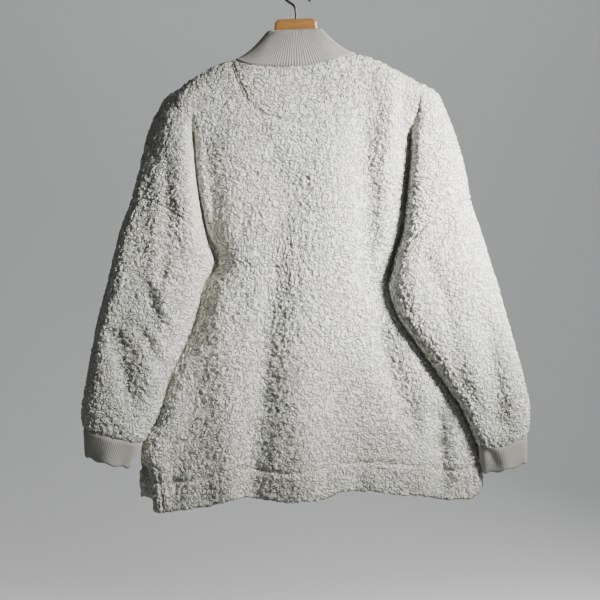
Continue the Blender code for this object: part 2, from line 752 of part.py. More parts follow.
def shell(name, place, columns, rows, wall, material, closed=False, lift=0.0, inward=1,
          rim=None):
    """Make a closed cloth solid between a surface and the same surface moved inwards."""
    columns = np.array(columns, float)
    rows = np.array(rows, float)
    outer, normal = normals(place, columns, rows, closed)
    column, row = np.meshgrid(columns, rows, indexing="ij")
    depth = wall(column, row, outer)
    normal = normal * inward
    top = outer + normal * lift
    low = outer + normal * (lift - depth)[..., None]
    if rim:
        low = rim(column, row, top, low)
    mesh = bmesh.new()
    layers = []
    for points in (top, low):
        layers.append([[mesh.verts.new(point * MM) for point in line] for line in points])
    first, second = layers
    count = len(columns)
    deep = len(rows)
    for i in range(count if closed else count - 1):
        j = (i + 1) % count
        for k in range(deep - 1):
            square = ((i, k), (j, k), (j, k + 1), (i, k + 1))
            for corners in split_square([top[spot] for spot in square]):
                for layer in layers:
                    mesh.faces.new([layer[square[c][0]][square[c][1]] for c in corners])
        for k in (0, deep - 1):
            mesh.faces.new((first[i][k], first[j][k], second[j][k], second[i][k]))
    if not closed:
        for i in (0, count - 1):
            for k in range(deep - 1):
                mesh.faces.new((first[i][k], first[i][k + 1], second[i][k + 1], second[i][k]))
    bmesh.ops.recalc_face_normals(mesh, faces=mesh.faces)
    return add_object(name, mesh, material)


def finish(name, colour, roughness, metallic=0.0):
    """A plain surface finish."""
    material = bpy.data.materials.new(name)
    material.use_nodes = True
    surface = material.node_tree.nodes["Principled BSDF"]
    surface.inputs["Base Color"].default_value = (*colour, 1.0)
    surface.inputs["Roughness"].default_value = roughness
    surface.inputs["Metallic"].default_value = metallic
    return material


def mirrored(steps):
    """Columns from the left side to the right, from the steps of one half."""
    return [-step for step in reversed(steps)] + [0.0] + list(steps)


def panel_columns(body_steps, outer_steps):
    """Columns of a whole panel."""
    return mirrored(list(body_steps) + [1 + step for step in outer_steps])


def panel_rows():
    """Rows of a whole panel; those beside the armhole meet the sleeve's columns."""
    armhole = [1 + SEAM_SHARE * turn for turn in ARMHOLE_TURNS]
    return list(LOWER_ROWS) + armhole + [1 + step for step in SHOULDER_ROWS]


def arm_ring():
    """Columns round a sleeve or a cuff."""
    back = list(ARMHOLE_TURNS)
    return back + [2 - turn for turn in reversed(back[1:-1])]


def neck_ring():
    """Columns round the collar, which meet the columns of the panels at the neck."""
    steps = [step for step in reversed(BODY_STEPS) if step <= NECK_SHARE]
    quarter = [math.acos(step / NECK_SHARE) / math.pi for step in steps]
    back = quarter + [0.5] + [1 - turn for turn in reversed(quarter)]
    return back + [2 - turn for turn in reversed(back[1:-1])]


def make_hanger():
    """Cut the wooden hanger from board, round its edges and bore it for the hook."""
    mesh = bmesh.new()
    upper = [(x, top) for x, top, bottom in HANGER]
    lower = [(x, bottom) for x, top, bottom in reversed(HANGER)]
    half = HANGER_DEEP / 2
    outline = [mesh.verts.new((x * MM, -half * MM, z * MM)) for x, z in upper + lower]
    board = mesh.faces.new(outline)
    pushed = bmesh.ops.extrude_face_region(mesh, geom=[board])
    moved = [item for item in pushed["geom"] if isinstance(item, bmesh.types.BMVert)]
    bmesh.ops.translate(mesh, verts=moved, vec=(0, HANGER_DEEP * MM, 0))
    bmesh.ops.recalc_face_normals(mesh, faces=mesh.faces)
    hanger = add_object("hanger_wood", mesh, WOOD)
    rounding = hanger.modifiers.new("rounding", "BEVEL")
    rounding.width = HANGER_ROUND * MM
    rounding.segments = 2
    rounding.limit_method = "ANGLE"
    rounding.angle_limit = math.radians(50)

    bore = bmesh.new()
    bmesh.ops.create_cone(bore, cap_ends=True, segments=16, radius1=HOOK_BORE / 2 * MM,
                          radius2=HOOK_BORE / 2 * MM, depth=40 * MM)
    bmesh.ops.translate(bore, verts=bore.verts, vec=(HOOK_X * MM, 0, (HOOK_FOOT_Z + 19) * MM))
    data = bpy.data.meshes.new("hook_bore")
    bore.to_mesh(data)
    bore.free()
    cutter = bpy.data.objects.new("hook_bore", data)
    cutter.hide_render = True
    cutter.display_type = "WIRE"
    CUTTERS.objects.link(cutter)
    hole = hanger.modifiers.new("bore", "BOOLEAN")
    hole.operation = "DIFFERENCE"
    hole.solver = "EXACT"
    hole.object = cutter
    return hanger


def make_hook():
    """Bend the hook from round wire."""
    curve = bpy.data.curves.new("hook_line", "CURVE")
    curve.dimensions = "3D"
    curve.bevel_depth = WIRE / 2 * MM
    curve.bevel_resolution = 2
    curve.use_fill_caps = True
    curve.resolution_u = 3
    line = curve.splines.new("BEZIER")
    line.bezier_points.add(len(HOOK_LINE) - 1)
    for point, (x, z) in zip(line.bezier_points, HOOK_LINE):
        point.co = (x * MM, 0.0, z * MM)
        point.handle_left_type = "AUTO"
        point.handle_right_type = "AUTO"
    maker = bpy.data.objects.new("hook_line", curve)
    bpy.context.scene.collection.objects.link(maker)
    bpy.context.view_layer.update()
    solid = bpy.data.meshes.new_from_object(maker.evaluated_get(
        bpy.context.evaluated_depsgraph_get()))
    mesh = bmesh.new()
    mesh.from_mesh(solid)
    bmesh.ops.remove_doubles(mesh, verts=mesh.verts, dist=0.00002)
    bmesh.ops.recalc_face_normals(mesh, faces=mesh.faces)
    bpy.data.objects.remove(maker)
    bpy.data.meshes.remove(solid)
    return add_object("hook_wire", mesh, METAL)


for old in list(bpy.data.objects):
    bpy.data.objects.remove(old)
PARTS = bpy.data.collections.new("sherpa_pullover")
CUTTERS = bpy.data.collections.new("cutters")
bpy.context.scene.collection.children.link(PARTS)
bpy.context.scene.collection.children.link(CUTTERS)

FLEECE = finish("sherpa fleece", (0.76, 0.74, 0.68), 0.95)
RIB = finish("rib knit", (0.72, 0.68, 0.65), 0.9)
WOOD = finish("varnished wood", (0.55, 0.29, 0.09), 0.35)
METAL = finish("dark metal", (0.05, 0.05, 0.055), 0.4, 0.8)

shell("back_panel", panel(BACK), panel_columns(BODY_STEPS, OUTER_STEPS), panel_rows(),
      hemmed_wall(BACK), FLEECE, rim=panel_rim(BACK))
shell("front_panel", panel(FRONT), panel_columns(FRONT_BODY_STEPS, FRONT_OUTER_STEPS),
      panel_rows(), hemmed_wall(FRONT), FLEECE, inward=-1, rim=panel_rim(FRONT))
shell("neck_half_moon", patch,
      mirrored([k * 2 / PATCH_COLUMNS for k in range(1, PATCH_COLUMNS // 2 + 1)]),
      PATCH_ROWS, even_wall(PATCH_WALL), FLEECE, lift=PATCH_LIFT + PATCH_WALL)
for label, side in (("right", RIGHT), ("left", LEFT)):
    shell("sleeve_" + label, sleeve(side), arm_ring(), SLEEVE_ROWS, sherpa_wall,
          FLEECE, closed=True, inward=-side)
    shell("cuff_" + label, cuff(side), arm_ring(), CUFF_ROWS, even_wall(CUFF_WALL),
          RIB, closed=True, inward=-side)
shell("collar", collar, neck_ring(), COLLAR_ROWS, even_wall(RIB_WALL), RIB,
      closed=True, inward=-1, rim=collar_rim)
make_hanger()
make_hook()
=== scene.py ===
"""Sherpa fleece pullover hanging on a wooden hanger: its cloth, finishes and studio.

Every cloth piece is a thin shell of fine mesh that follows the same hanging form as the
part's solids, with the curly pile, the rib and the seams raised on it. Tables of the form
are in millimetres; MM turns them into metres.
"""
from __future__ import annotations

import logging
import math
from collections.abc import Callable, Sequence
from dataclasses import dataclass, field
from enum import Enum, IntEnum
from itertools import product

import bmesh
import bpy
import numpy as np
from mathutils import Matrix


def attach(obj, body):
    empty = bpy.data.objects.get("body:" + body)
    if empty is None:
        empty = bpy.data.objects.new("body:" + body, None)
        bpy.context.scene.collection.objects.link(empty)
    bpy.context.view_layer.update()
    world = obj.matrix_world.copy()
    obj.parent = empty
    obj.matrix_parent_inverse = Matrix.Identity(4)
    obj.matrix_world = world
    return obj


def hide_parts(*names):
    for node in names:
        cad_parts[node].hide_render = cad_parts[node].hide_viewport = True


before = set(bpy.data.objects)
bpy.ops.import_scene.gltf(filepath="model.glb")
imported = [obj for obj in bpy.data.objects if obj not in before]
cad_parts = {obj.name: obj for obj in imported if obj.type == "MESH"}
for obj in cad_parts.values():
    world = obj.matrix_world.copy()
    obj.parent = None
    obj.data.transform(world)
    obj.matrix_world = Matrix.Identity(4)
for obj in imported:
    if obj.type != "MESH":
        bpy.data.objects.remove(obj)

LOG = logging.getLogger("pullover")
MM = 0.001
INNER_PILE = 0.6
SETTLE_ROUNDS = 24
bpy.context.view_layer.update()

Array = np.ndarray
Colour = tuple[float, float, float]
Place = tuple[float, float, float]
Socket = bpy.types.NodeSocket


class Side(IntEnum):
    """Which arm, seen from the back."""

    LEFT = -1
    RIGHT = 1


class Face(IntEnum):
    """Which panel of the body."""

    BACK = -1
    FRONT = 1

    @property
    def column(self) -> int:
        """Which column of a table holds this panel's values."""
        return 1 if self == Face.BACK else 2


class Slot(str, Enum):
    """Material slots of the record."""

    FLEECE = "sherpa_fleece"
    RIB = "rib_knit"


def blend(first: Array | float, second: Array | float, share: Array | float) -> Array:
    """A value between two others."""
    return first + (second - first) * share


def smooth_step(value: Array) -> Array:
    """Rise from 0 to 1 with level ends."""
    value = np.clip(value, 0.0, 1.0)
    return value * value * (3 - 2 * value)


def arch(value: Array, power: float) -> Array:
    """A rounded profile: 1 at the middle, 0 at the edge."""
    return np.clip(1 - np.abs(value) ** power, 0.0, 1.0) ** (1 / power)


def unit(vectors: Array) -> Array:
    """Vectors made one long."""
    length = np.linalg.norm(vectors, axis=-1, keepdims=True)
    return vectors / np.maximum(length, 1e-12)


def eased_turn(turn: Array) -> Array:
    """Share of the way across a tube, by turn round it from one fold to the other."""
    return (1 - np.cos(math.pi * turn)) / 2


def rolled_in(distance: Array, reach: float, depth: float) -> Array:
    """How far the cloth turns in towards an edge this far away."""
    return -depth * (1 - smooth_step(distance / reach))


def grooved(distance: Array, width: float, depth: float) -> Array:
    """A sewn groove, by distance from its line."""
    return -depth * np.exp(-(distance / width) ** 2)


def travelled(points: Array, axis: int) -> Array:
    """Distance over a grid of points from its first line."""
    lengths = np.linalg.norm(np.diff(points, axis=axis), axis=-1)
    return np.insert(np.cumsum(lengths, axis=axis), 0, 0.0, axis=axis)


def both(right: object, left: object) -> object:
    """A dataclass field with a value for each arm."""
    return field(default_factory=lambda: {Side.RIGHT: right, Side.LEFT: left})


class SmoothCurve:
    """A smooth curve through rows of a table, with no overshoot between them."""

    def __init__(self, table: tuple[tuple[float, ...], ...], index: int) -> None:
        """Fit the curve.

        Args:
            table: rows whose first value is the place along the curve.
            index: the column that holds the curve's value.
        """
        rows = sorted(table)
        self.knots = np.array([row[0] for row in rows], float)
        self.values = np.array([row[index] for row in rows], float)
        rise = np.diff(self.values) / np.diff(self.knots)
        self.slopes = np.zeros(len(rows))
        for k in range(1, len(rows) - 1):
            if rise[k - 1] * rise[k] > 0:
                self.slopes[k] = 2 * rise[k - 1] * rise[k] / (rise[k - 1] + rise[k])
        self.slopes[0] = rise[0]
        self.slopes[-1] = rise[-1]

    def __call__(self, at: Array) -> Array:
        """The curve's value at a place."""
        at = np.clip(at, self.knots[0], self.knots[-1])
        k = np.clip(np.searchsorted(self.knots, at) - 1, 0, len(self.knots) - 2)
        width = self.knots[k + 1] - self.knots[k]
        t = (at - self.knots[k]) / width
        u = 1 - t
        ends = self.values[k] * (1 + 2 * t) * u * u + self.values[k + 1] * t * t * (3 - 2 * t)
        return ends + width * (self.slopes[k] * t * u * u - self.slopes[k + 1] * t * t * u)


@dataclass(frozen=True)
class Fold:
    """A soft trough (plus) or ridge (minus) in the cloth, straight but for a bow."""

    top_x: float
    top_z: float
    low_x: float
    low_z: float
    bow: float
    width: float
    at_top: float
    at_low: float

    def depth(self, x: Array, z: Array) -> Array:
        """How far the fold sinks the cloth at x and z."""
        along = (self.top_z - z) / (self.top_z - self.low_z)
        inside = np.clip(along, 0.0, 1.0)
        line_x = blend(self.top_x, self.low_x, inside) + self.bow * 4 * inside * (1 - inside)
        past = (along - inside) * (self.top_z - self.low_z)
        shape = np.exp(-((x - line_x) / self.width) ** 2 - (past / (1.3 * self.width)) ** 2)
        return blend(self.at_top, self.at_low, inside) * shape


# Arm, from the shoulder down: height, fold nearest the body, outer fold,
# middle of the depth, half of the depth
ARM = {
    Side.RIGHT: (
        (-160, 196, 232, 0, 27), (-192, 196, 234.1, 0, 33), (-206, 196, 239, 0, 36),
        (-244, 183, 253, -2, 43), (-300, 179, 269, -4, 50), (-350, 174.5, 277.5, -6, 53),
        (-400, 168, 294, -8, 55), (-450, 154, 309.5, -10, 55), (-486, 148.3, 321, -12, 53),
        (-530, 159.5, 333, -18, 49), (-580, 192, 346.5, -24, 44), (-640, 235, 362.5, -27, 38),
        (-690, 268, 371, -27, 34), (-745, 290, 366, -25, 29),
    ),
    Side.LEFT: (
        (-160, -170, -214, 0, 27), (-195, -169, -218, 0, 34), (-206, -169, -224, 0, 36),
        (-246, -167, -240, -2, 42), (-310, -162, -255, -4, 48), (-350, -157, -265, -6, 52),
        (-400, -148, -283, -8, 54), (-448, -133.4, -294.5, -12, 53),
        (-490, -153.5, -304.5, -18, 49), (-530, -162, -315, -22, 46),
        (-580, -180.5, -325, -25, 42), (-640, -208.5, -335.5, -27, 38),
        (-690, -223, -343.5, -27, 34), (-742, -249, -338, -25, 29),
    ),
}
# Edge of the body: height, depth of the crease or of the side seam on the back and the front
EDGE_DEPTH = {
    Side.RIGHT: (
        (-180, -33, 24), (-206, -32, 24), (-244, -29, 22), (-300, -26, 17), (-350, -23, 11),
        (-400, -20, 4), (-440, -17, -3), (-486, -12, -12), (-530, -6, -7), (-580, 0, -1),
        (-640, 4, 4), (-750, 5, 5), (-772, 1, 9), (-850, -6, 13),
    ),
    Side.LEFT: (
        (-180, -34, 24), (-246, -32, 22), (-310, -28, 14), (-360, -23, 6), (-405, -18, -3),
        (-448, -12, -12), (-490, -7, -8), (-540, -1, -1), (-600, 4, 4),
        (-765, 5, 5), (-790, -3, 10), (-850, -8, 13),
    ),
}
# Lower side of the body: height, edge of the back, edge of the front
SIDE_EDGE = {
    Side.RIGHT: ((-690, 268, 268), (-735, 289, 289), (-765, 294, 294), (-795, 297, 297),
                 (-850, 294, 298)),
    Side.LEFT: ((-690, -223, -223), (-740, -247, -247), (-765, -250, -250),
                (-785, -238, -253), (-850, -228, -250)),
}
SIDE_LAG = ((0, 0.0), (16, -1.5), (50, -4.5), (150, -5.0), (220, -2.0), (260, 0.0))
# Middle of the body: height, x, depth of the back, depth of the front
BODY = (
    (-76, -3, 22, 22), (-120, -3, 27, 26), (-200, -2, 34, 29), (-260, 0, 38, 30),
    (-330, 3, 42, 32), (-400, 5, 45, 33), (-500, 10, 48, 34), (-600, 18, 50, 34),
    (-700, 28, 52, 34), (-840, 34, 54, 35),
)
# Upper outline of the shoulders and the collar: x, height
TOP_LINE = (
    (-265, -350), (-255, -310), (-240, -246), (-224, -206), (-218, -195), (-208.3, -182.6),
    (-196.2, -174), (-180.2, -161.8), (-165.4, -150.7), (-143.5, -138.6), (-128.8, -131.2),
    (-104.3, -122.7), (-86.6, -116.2), (-72.3, -104.6), (-58, -90.4), (-46.6, -76),
    (38.4, -72), (46.2, -79), (59, -91.8), (74.9, -104.6), (87, -110.5), (97, -112.8),
    (130.1, -123.8), (160.6, -139.7), (197.3, -160.5), (225.4, -177.6), (234.1, -192.3),
    (239, -206), (253, -244), (269, -300), (277.5, -350),
)
# Neck seam: x, height on the back, height on the front
NECK = (
    (-101.5, -121.8, -121.8), (-86.6, -129, -148), (-72.3, -133.3, -162),
    (-50.9, -135.8, -177), (-22.4, -136.5, -187), (6.2, -135.8, -187), (27.7, -132.5, -181),
    (56, -124.5, -166), (84.8, -116.2, -139), (97, -112.8, -112.8),
)
# Hem: x, height of the back, height of the front
HEM = (
    (-252, -846, -828), (-216.8, -851, -836), (-180.2, -845, -834), (-143.4, -840, -829),
    (-102.9, -829, -822), (-79, -825.5, -818), (-51.5, -828, -817), (-16, -831.7, -820),
    (21.9, -829, -822), (47.2, -824.5, -819), (66.2, -817, -814), (88.8, -814.2, -810),
    (114.9, -814.2, -807), (166.9, -820.3, -811), (210.2, -822.9, -816),
    (253.6, -828, -819), (271, -828, -818), (288.3, -821, -814), (297, -808, -808),
)
# Folds: top x and height, bottom x and height, bow, half width, depth at top and bottom
MAIN_FOLDS = {
    Face.BACK: (
        Fold(-10, -330, -56, -670, -6, 24, 2, 10), Fold(-62, -726, -74, -850, 0, 24, 10, 12),
        Fold(60, -215, 62, -600, 8, 34, -4, -4), Fold(112, -150, 122, -470, 0, 20, 4, 3),
        Fold(130, -500, 196, -735, -14, 20, 4, 4), Fold(98, -690, 100, -850, 0, 20, 0, 7),
        Fold(-122, -510, -112, -850, 0, 26, -3, -7),
        Fold(-203, -740, -196, -850, 0, 18, 3, 5), Fold(24, -650, 20, -850, 0, 30, -2, -6),
        Fold(-134, -250, -122, -360, 0, 16, 3, 3),
        Fold(152, -200, 140, -400, -3, 14, -4, -3),
        Fold(215, -690, 232, -850, 0, 24, -2, -6),
        Fold(-228, -235, -234, -400, 2, 20, 5, 6), Fold(-240, -443, -268, -541, 3, 20, 6, 6),
        Fold(-274, -585, -254, -670, -4, 20, 6, 4),
        Fold(-196, -371, -196, -515, 5, 13, 4, 4),
        Fold(-240, -528, -206, -574, -3, 12, 5, 3), Fold(300, -560, 318, -690, 3, 20, 3, 5),
        Fold(232, -395, 200, -440, 0, 16, 3, 3), Fold(262, -640, 300, -700, 3, 14, 3, 4),
    ),
    Face.FRONT: (
        Fold(20, -330, 70, -840, 8, 26, 2, 8), Fold(-70, -300, -110, -840, -8, 26, 2, 7),
        Fold(150, -560, 190, -840, -6, 24, 1, 6), Fold(-30, -560, -24, -840, 0, 28, -1, -5),
        Fold(-220, -260, -250, -560, 4, 20, 5, 6), Fold(230, -260, 282, -560, -4, 20, 5, 6),
        Fold(-270, -560, -290, -690, 2, 18, 6, 3), Fold(300, -560, 322, -690, 2, 18, 6, 3),
    ),
}

# Finer folds that the solids leave out, and patches where the pile lies flat (share, not
# depth), where less shade is painted between the nubs, so they come out paler
FINE_FOLDS = {
    Face.BACK: (
        Fold(-96, -330, -150, -830, -8, 60, 4, 9), Fold(-136, -470, -232, -700, 6, 18, 9, 7),
        Fold(34, -330, 6, -800, -6, 38, -3, -8), Fold(106, -240, 112, -480, 0, 15, 4, 3),
        Fold(122, -470, 146, -620, -5, 18, 2, 5), Fold(160, -659, 206, -742, 0, 18, 2, 2),
        Fold(176, -560, 220, -690, 0, 20, -3, -5), Fold(224, -700, 232, -800, 0, 18, 16, 14),
        Fold(-196, -470, -226, -640, 0, 16, -3, -2), Fold(-160, -560, -196, -800, 6, 22, 3, 5),
        Fold(30, -170, 60, -235, 4, 14, 1.5, 1), Fold(-60, -235, -30, -330, 4, 20, 2, 1.5),
        Fold(-236, -250, -258, -420, 3, 16, 2, 4), Fold(-206, -300, -214, -470, 3, 12, 5, 5),
        Fold(-262, -440, -288, -560, 3, 14, 3, 2), Fold(-232, -505, -204, -556, -4, 10, 5, 3),
        Fold(-246, -560, -216, -620, 3, 11, 4, 3), Fold(-292, -570, -262, -690, 0, 14, 5, 3),
        Fold(302, -560, 322, -700, 4, 18, 4, 5), Fold(236, -520, 262, -640, -4, 16, 3, 2),
        Fold(210, -455, 232, -512, 3, 11, 3, 2), Fold(-150, -270, -126, -440, 0, 16, 7, 9),
    ),
    Face.FRONT: (
        Fold(-20, -300, -46, -800, -6, 28, 2, 7), Fold(96, -420, 128, -800, 5, 24, 2, 6),
        Fold(-150, -500, -184, -800, -4, 22, 2, 6), Fold(40, -210, 60, -330, 3, 20, 2, 2),
        Fold(-236, -300, -262, -460, 3, 13, 4, 6), Fold(-250, -480, -218, -560, 3, 11, 4, 3),
        Fold(262, -420, 296, -560, 4, 14, 4, 5), Fold(236, -500, 276, -590, 0, 12, 4, 3),
    ),
}
FLAT_PATCHES = (
    Fold(166, -170, 160, -300, 0, 13, 0.9, 0.6), Fold(76, -230, 84, -560, 0, 26, 0.4, 0.3),
    Fold(250, -330, 292, -560, 4, 40, 0.3, 0.4), Fold(-168, -235, -160, -400, 0, 10, 0.7, 0.5),
    Fold(200, -470, 214, -540, 0, 20, 0.3, 0.2), Fold(40, -560, 30, -700, 0, 30, 0.2, 0.1),
)
# Lower edge of the half-moon below the neck: x, height
HALF_MOON_LINE = (
    (-107, -130), (-98, -153), (-90, -172.8), (-75, -201), (-56, -214), (-37, -221),
    (-11, -225.6), (27, -222.5), (51, -216), (63, -208.5), (79, -192), (92, -176),
    (99, -163), (105, -142), (108, -124),
)


@dataclass
class HangingForm:
    """The shape that the pullover hangs in, as depths over height and sideways place."""

    underarm_z: dict[Side, float] = both(-486.0, -448.0)
    seam_top_z: dict[Side, float] = both(-349.0, -345.0)
    corner_z: dict[Side, float] = both(-192.0, -195.0)
    corner_x: dict[Side, float] = both(234.1, -218.0)
    shoulder_end_x: dict[Side, float] = both(277.5, -265.0)
    valley_top_x: dict[Side, float] = both(197.0, -200.0)
    centre_hem: float = 34.0
    centre_underarm: float = 8.0
    centre_neck: float = -3.0
    seam_share: float = 0.55
    seam_curve: float = 2.6
    row_climb: float = 3.0
    row_even: float = 0.3
    front_share: float = 0.78
    body_power: float = 3.5
    edge_power: float = 2.2
    sleeve_power: float = 3.0
    roll_height: float = 40.0
    pinch_slope: float = 17.0
    pinch_reach: float = 70.0
    pinch_wide: float = 14.0
    edge_spread: tuple[float, ...] = (-80.0, -40.0, 0.0, 40.0, 80.0)
    spread_reach: float = 60.0
    side_meets: tuple[float, float] = (-690.0, -730.0)
    fine_gain: float = 1.2
    crease_wide: float = 6.5
    crease_deep: float = 15.0
    crease_start: tuple[float, float] = (12.0, 50.0)
    crease_end: tuple[float, float] = (6.0, 30.0)
    crease_fit: float = 0.89
    corner_fade: float = 14.0
    sink_from: tuple[float, float] = (4.0, 22.0)
    arm_table_top: float = -350.0
    hem_share: float = 0.25
    edge_fade: float = 70.0
    edge_grow: float = 12.0
    valley_from: tuple[float, float] = (0.72, 0.28)
    valley_rise: float = 7.0
    top_from: tuple[float, float] = (0.75, 0.25)
    first_low: float = 250.0
    first_high: float = 180.0

    def __post_init__(self) -> None:
        """Turn the tables into curves."""
        self.arm_in, self.arm_low_out, self.arm_middle, self.arm_deep = (
            {side: SmoothCurve(ARM[side], index) for side in Side} for index in (1, 2, 3, 4))
        self.edge_y, self.low_side = (
            {(side, face): SmoothCurve(table[side], face.column)
             for side in Side for face in Face} for table in (EDGE_DEPTH, SIDE_EDGE))
        self.neck_z, self.hem_z = (
            {face: SmoothCurve(table, face.column) for face in Face} for table in (NECK, HEM))
        self.body_deep = {face: SmoothCurve(BODY, 1 + face.column) for face in Face}
        self.lag = SmoothCurve(SIDE_LAG, 1)
        self.body_x = SmoothCurve(BODY, 1)
        self.top_z = SmoothCurve(TOP_LINE, 1)
        self.neck_left = NECK[0][0]
        self.neck_right = NECK[-1][0]

    def arm_out(self, side: Side, z: Array) -> Array:
        """Outer fold of the arm at a height."""
        along = np.linspace(self.corner_x[side], self.shoulder_end_x[side], 300)
        upper = np.interp(-z, -self.top_z(along), along)
        return np.where(z > self.arm_table_top, upper, self.arm_low_out[side](z))

    def underarm_line(self, x: Array) -> Array:
        """Height of the line between the two underarm points."""
        left_x = self.arm_in[Side.LEFT](self.underarm_z[Side.LEFT])
        right_x = self.arm_in[Side.RIGHT](self.underarm_z[Side.RIGHT])
        return blend(self.underarm_z[Side.LEFT], self.underarm_z[Side.RIGHT],
                     (x - left_x) / (right_x - left_x))

    def shaped(self, face: Face, x: Array, z: Array, y: Array) -> Array:
        """Round the cloth over the shoulders and lay its folds.

        Args:
            face: the panel.
            x: sideways places.
            z: heights.
            y: depths before shaping.

        Returns:
            The shaped depths.
        """
        near_top = np.clip(1 - (self.top_z(x) - z) / self.roll_height, 0.0, 1.0)
        corner = np.where(x > 0, self.corner_x[Side.RIGHT], -self.corner_x[Side.LEFT])
        y = y * blend(np.sqrt(1 - near_top ** 2), 1.0,
                      smooth_step((np.abs(x) - corner) / self.corner_fade))
        sunk = np.zeros(np.shape(x))
        for fold in MAIN_FOLDS[face]:
            sunk = sunk + fold.depth(x, z)
        for fold in FINE_FOLDS[face]:
            sunk = sunk + self.fine_gain * fold.depth(x, z)
        sunk = sunk + self.crease_deep * self.in_crease(x, z)
        start, reach = self.sink_from
        return y - face * sunk * smooth_step((face * y - start) / reach)

    def in_crease(self, x: Array, z: Array) -> Array:
        """How far, from 0 to 1, a place lies in the narrow crease between body and arm."""
        share = np.zeros(np.shape(x))
        below, fade_in = self.crease_start
        above, fade_out = self.crease_end
        for side in Side:
            top = smooth_step((self.corner_z[side] - below - z) / fade_in)
            low = smooth_step((z - self.underarm_z[side] + above) / fade_out)
            away = (x - self.arm_in[side](z)) / self.crease_wide
            share = share + top * low * np.exp(-away ** 2)
        return share

    def arm_y(self, side: Side, face: Face, x: Array, z: Array) -> Array:
        """Depth of the arm's tube, which is open to the body above the underarm."""
        inner = self.arm_in[side](z)
        across = np.clip((x - inner) / (self.arm_out(side, z) - inner), 0.0, 1.0)
        middle = self.arm_middle[side](z)
        open_y = np.where(z > self.underarm_z[side], self.edge_y[side, face](z), middle)
        crease = np.maximum(face * (open_y - middle), 0.0)
        deep = self.arm_deep[side](z) * (1.0 if face == Face.BACK else self.front_share)
        rest = np.maximum(deep - self.crease_fit * crease, 0.0)
        tube = crease * arch(across, self.edge_power)
        tube = tube + rest * arch(2 * across - 1, self.sleeve_power)
        return self.shaped(face, x, z, middle + face * tube)

    def body_edge_x(self, side: Side, face: Face, z: Array) -> Array:
        """Where the body ends: the crease above the underarm, the side seam below it."""
        crease = self.arm_in[side](z)
        below = crease - side * self.lag(self.underarm_z[side] - z)
        start, end = self.side_meets
        below = blend(below, self.low_side[side, face](z),
                      smooth_step((start - z) / (start - end)))
        return np.where(z > self.underarm_z[side], crease, below)

    def body_y(self, side: Side, face: Face, x: Array, z: Array) -> Array:
        """Depth of the body, from its middle to the crease or the side seam."""
        middle_x = self.body_x(z)
        edge_y = self.edge_y[side, face](z)
        edge_x = self.body_edge_x(side, face, z)
        around = [self.body_edge_x(side, face, z + step) for step in self.edge_spread]
        distance = np.maximum(side * (edge_x - x), 0)
        far_x = blend(edge_x, sum(around) / len(around),
                      smooth_step(distance / self.spread_reach))
        across = np.clip((x - middle_x) / (far_x - middle_x), 0.0, 1.0)
        profile = arch(across, self.body_power)
        slope = np.minimum(profile, 1 - np.exp(-distance / self.pinch_slope))
        near = np.exp(-((z - self.underarm_z[side]) / self.pinch_reach) ** 2)
        profile = blend(profile, slope, near)
        y = edge_y + (face * self.body_deep[face](z) - edge_y) * profile
        return self.shaped(face, x, z, y)

    def cloth_y(self, face: Face, x: Array, z: Array) -> Array:
        """Depth of the garment's outer face at x and z."""
        total = np.zeros(np.shape(x))
        for side in Side:
            here = side * (x - self.body_x(z)) >= 0
            beyond = side * (x - self.body_edge_x(side, face, z)) > 0
            on_arm = beyond & (z > self.underarm_z[side])
            y = np.where(on_arm, self.arm_y(side, face, x, z), self.body_y(side, face, x, z))
            total = np.where(here, y, total)
        return total

    def seam_z(self, side: Side, turn: Array) -> Array:
        """Height of the armhole seam, by turn from the underarm (0) to the shoulder (1)."""
        drop = self.seam_top_z[side] - self.underarm_z[side]
        return self.seam_top_z[side] - drop * (1 - turn) ** self.seam_curve

    def tube_x(self, side: Side, turn: Array, z: Array) -> Array:
        """Sideways place on the arm's tube, a given turn round from its inner fold."""
        return blend(self.arm_in[side](z), self.arm_out(side, z), eased_turn(turn))

    def panel_top(self, face: Face, x: Array) -> Array:
        """Height of a panel's upper edge: the neck seam and the shoulders."""
        at_neck = (x > self.neck_left) & (x < self.neck_right)
        return np.where(at_neck, self.neck_z[face](x), self.top_z(x))

    @staticmethod
    def settle(follow: Callable[[Array], Array], start: Array) -> Array:
        """A place that agrees with its own height, found by repeated steps."""
        x = start
        for _ in range(SETTLE_ROUNDS):
            x = follow(x)
        return x

    def lower_half(self, side: Side, face: Face, column: Array, low: Array
                   ) -> tuple[Array, Array]:
        """Place the lower part of a panel.

        Args:
            side: the side of the panel.
            face: the panel.
            column: 0 at the middle, 1 beside the edge, 2 on it.
            low: 0 at the hem, 1 at the underarm.

        Returns:
            x and z.
        """
        within, beyond = np.clip(column, 0.0, 1.0), np.clip(column - 1, 0.0, 1.0)

        def height(x: Array) -> Array:
            """Height of this row at x."""
            shared = (self.hem_z[Face.BACK](x) + self.hem_z[Face.FRONT](x)) / 2
            hem = blend(self.hem_z[face](x), shared, smooth_step(low / self.hem_share))
            return blend(hem, self.underarm_line(x), low)

        edge = self.settle(
            lambda x: self.body_edge_x(side, face, np.minimum(height(x),
                                                              self.underarm_z[side])),
            side * self.first_low + 0 * low)
        below = smooth_step((self.underarm_z[side] - height(edge)) / self.edge_fade)
        near = edge - side * (self.pinch_wide + self.edge_grow * below)
        middle = blend(self.centre_hem, self.centre_underarm, low)
        share = blend(beyond, np.sin(beyond * math.pi / 2), below)
        x = blend(middle, near, within) + (edge - near) * share
        return x, height(x)

